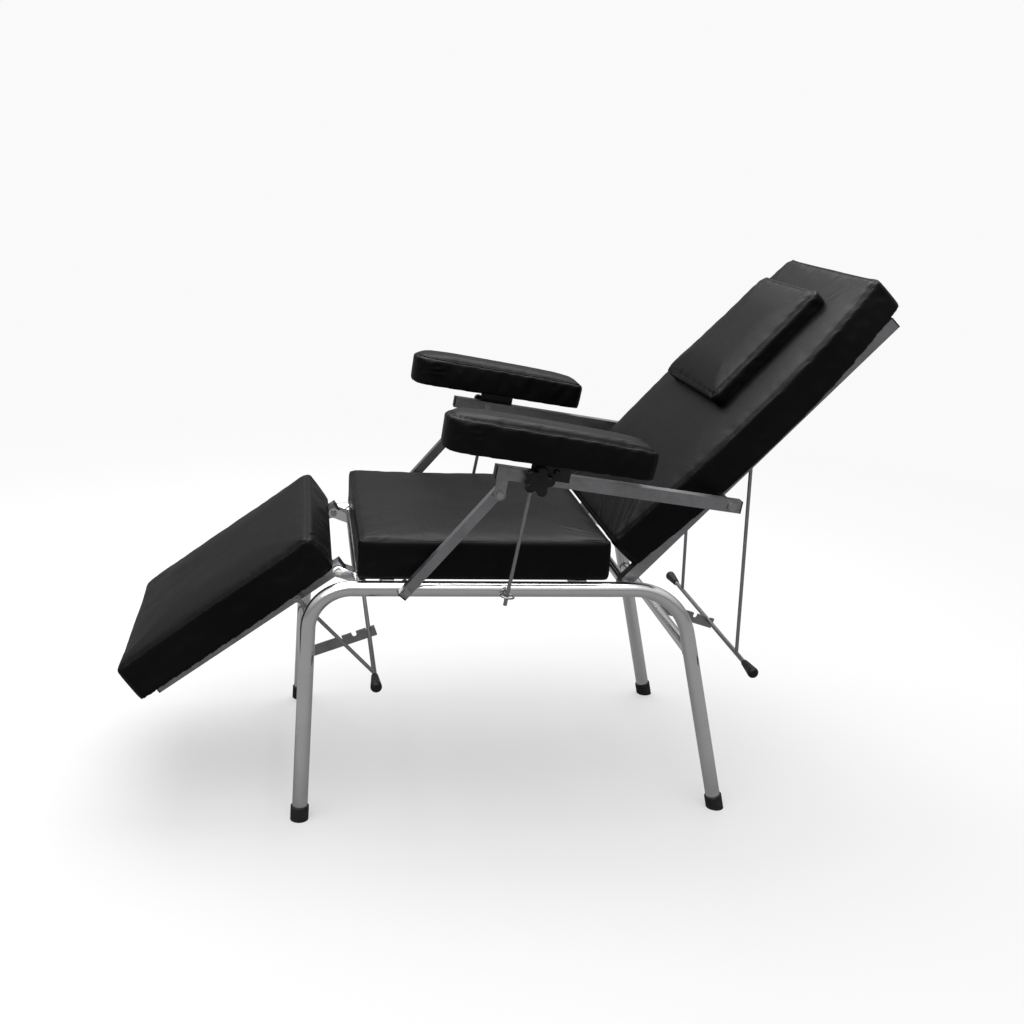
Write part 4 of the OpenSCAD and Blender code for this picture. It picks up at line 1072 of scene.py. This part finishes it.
class CHAIR_OT_stage(bpy.types.Operator):
    """Make the floor, the lights and the camera"""
    bl_idname = "chair.stage"
    bl_label = "Stage"

    def execute(self, context):
        stage = context.scene.chair_stage
        tree, surface, where = start_finish("Pale floor", Roughness=0.75, Specular_IOR_Level=0.2)
        tone = mixed(tree, noise(tree, where, 1.3, 4.0), tuple(stage.floor_colour),
                     tuple(c * 0.985 for c in stage.floor_colour))
        path = tree.nodes.new("ShaderNodeLightPath")
        tone = mixed(tree, path.outputs["Is Camera Ray"], (0.15, 0.15, 0.15), tone)
        wire(tree, surface, Base_Color=tone)
        away = put(tree, "ShaderNodeVectorMath", operation="LENGTH")
        wire(tree, away, n0=where)
        plain = put(tree, "ShaderNodeEmission")
        bright = ramp(tree, path.outputs["Is Camera Ray"], 0.0, 1.0, 0.35, 1.0)
        wire(tree, plain, Color=BACKDROP, Strength=bright)
        fade = ramp(tree, away.outputs["Value"], 0.8, 4.0, 0.45, 1.0)
        mixed_shader(tree, fade, surface.outputs[0], plain.outputs[0],
                     tree.nodes["Material Output"].inputs[0])
        corners = [(x * FLOOR_REACH, y * FLOOR_REACH, 0) for x, y in ((-1, -1), (1, -1), (1, 1), (-1, 1))]
        floor = new_piece("floor", corners, [[0, 1, 2, 3]], finish("Pale floor"))

        world = bpy.data.worlds.new("Studio")
        context.scene.world = world
        world.use_nodes = True
        tree = world.node_tree
        tree.nodes.clear()
        where = tree.nodes.new("ShaderNodeTexCoord").outputs["Generated"]
        apart = put(tree, "ShaderNodeSeparateXYZ")
        wire(tree, apart, Vector=where)
        glow = ramp(tree, apart.outputs["Z"], 0.15, 0.95, 0.24, 1.10)
        room = put(tree, "ShaderNodeBackground")
        wire(tree, room, Color=(1.0, 1.0, 1.0, 1.0), Strength=glow)
        seen = put(tree, "ShaderNodeBackground")
        wire(tree, seen, Color=BACKDROP, Strength=1.0)
        path = tree.nodes.new("ShaderNodeLightPath")
        mixed_shader(tree, path.outputs["Is Camera Ray"], room.outputs[0], seen.outputs[0],
                     tree.nodes.new("ShaderNodeOutputWorld").inputs[0])

        sun = bpy.data.lights.new("soft_key", "SUN")
        sun.energy = stage.sun_power
        sun.angle = math.radians(60)
        key = bpy.data.objects.new("soft_key", sun)
        key.rotation_euler = (math.radians(28), math.radians(-14), 0.0)
        context.scene.collection.objects.link(key)
        wide = bpy.data.lights.new("overhead", "AREA")
        wide.shape = "RECTANGLE"
        wide.size, wide.size_y = 3.4, 2.6
        wide.energy = stage.overhead_power
        lamp = bpy.data.objects.new("overhead", wide)
        lamp.matrix_world = Matrix.Translation((-0.2, 1.2, 3.4)) @ Matrix.Rotation(math.radians(-18), 4, "X")
        context.scene.collection.objects.link(lamp)

        camera = bpy.data.cameras.new("camera")
        camera.sensor_width = 36.0
        camera.lens = stage.lens
        camera.clip_end = 300.0
        eye = bpy.data.objects.new("camera", camera)
        turn = Matrix((EYE_RIGHT, EYE_UP, EYE_BACK)).transposed().to_4x4()
        eye.matrix_world = Matrix.Translation(EYE_PLACE) @ turn
        context.scene.collection.objects.link(eye)
        context.scene.camera = eye
        context.scene.view_settings.view_transform = "Standard"
        return {"FINISHED"}


class CHAIR_PT_panel(bpy.types.Panel):
    """The chair's operators and sizes"""
    bl_idname = "CHAIR_PT_panel"
    bl_label = "Reclining hospital chair"
    bl_space_type = "VIEW_3D"
    bl_region_type = "UI"
    bl_category = "Chair"

    def draw(self, context):
        for operator in OPERATORS:
            self.layout.operator(operator.bl_idname)
        for group in (context.scene.chair_look, context.scene.chair_stage):
            for name in group.bl_rna.properties.keys():
                if name not in ("rna_type", "name"):
                    self.layout.prop(group, name)


OPERATORS = [
    CHAIR_OT_finishes, CHAIR_OT_seat, CHAIR_OT_leg_rest, CHAIR_OT_backrest, CHAIR_OT_pillow,
    CHAIR_OT_arm_pads, CHAIR_OT_weld_beads, CHAIR_OT_stage,
]
CLASSES = [ChairLook, StageLook, *OPERATORS, CHAIR_PT_panel]


def register():
    """Registers the classes and the two groups of settings."""
    for item in CLASSES:
        bpy.utils.register_class(item)
    bpy.types.Scene.chair_look = bpy.props.PointerProperty(type=ChairLook)
    bpy.types.Scene.chair_stage = bpy.props.PointerProperty(type=StageLook)


def unregister():
    """Takes away what register added."""
    del bpy.types.Scene.chair_stage
    del bpy.types.Scene.chair_look
    for item in reversed(CLASSES):
        bpy.utils.unregister_class(item)


def main():
    """Builds the whole scene."""
    register()
    for operator in OPERATORS:
        getattr(bpy.ops.chair, operator.bl_idname.split(".")[1])()
    bpy.context.view_layer.update()


if __name__ == "__main__":
    main()
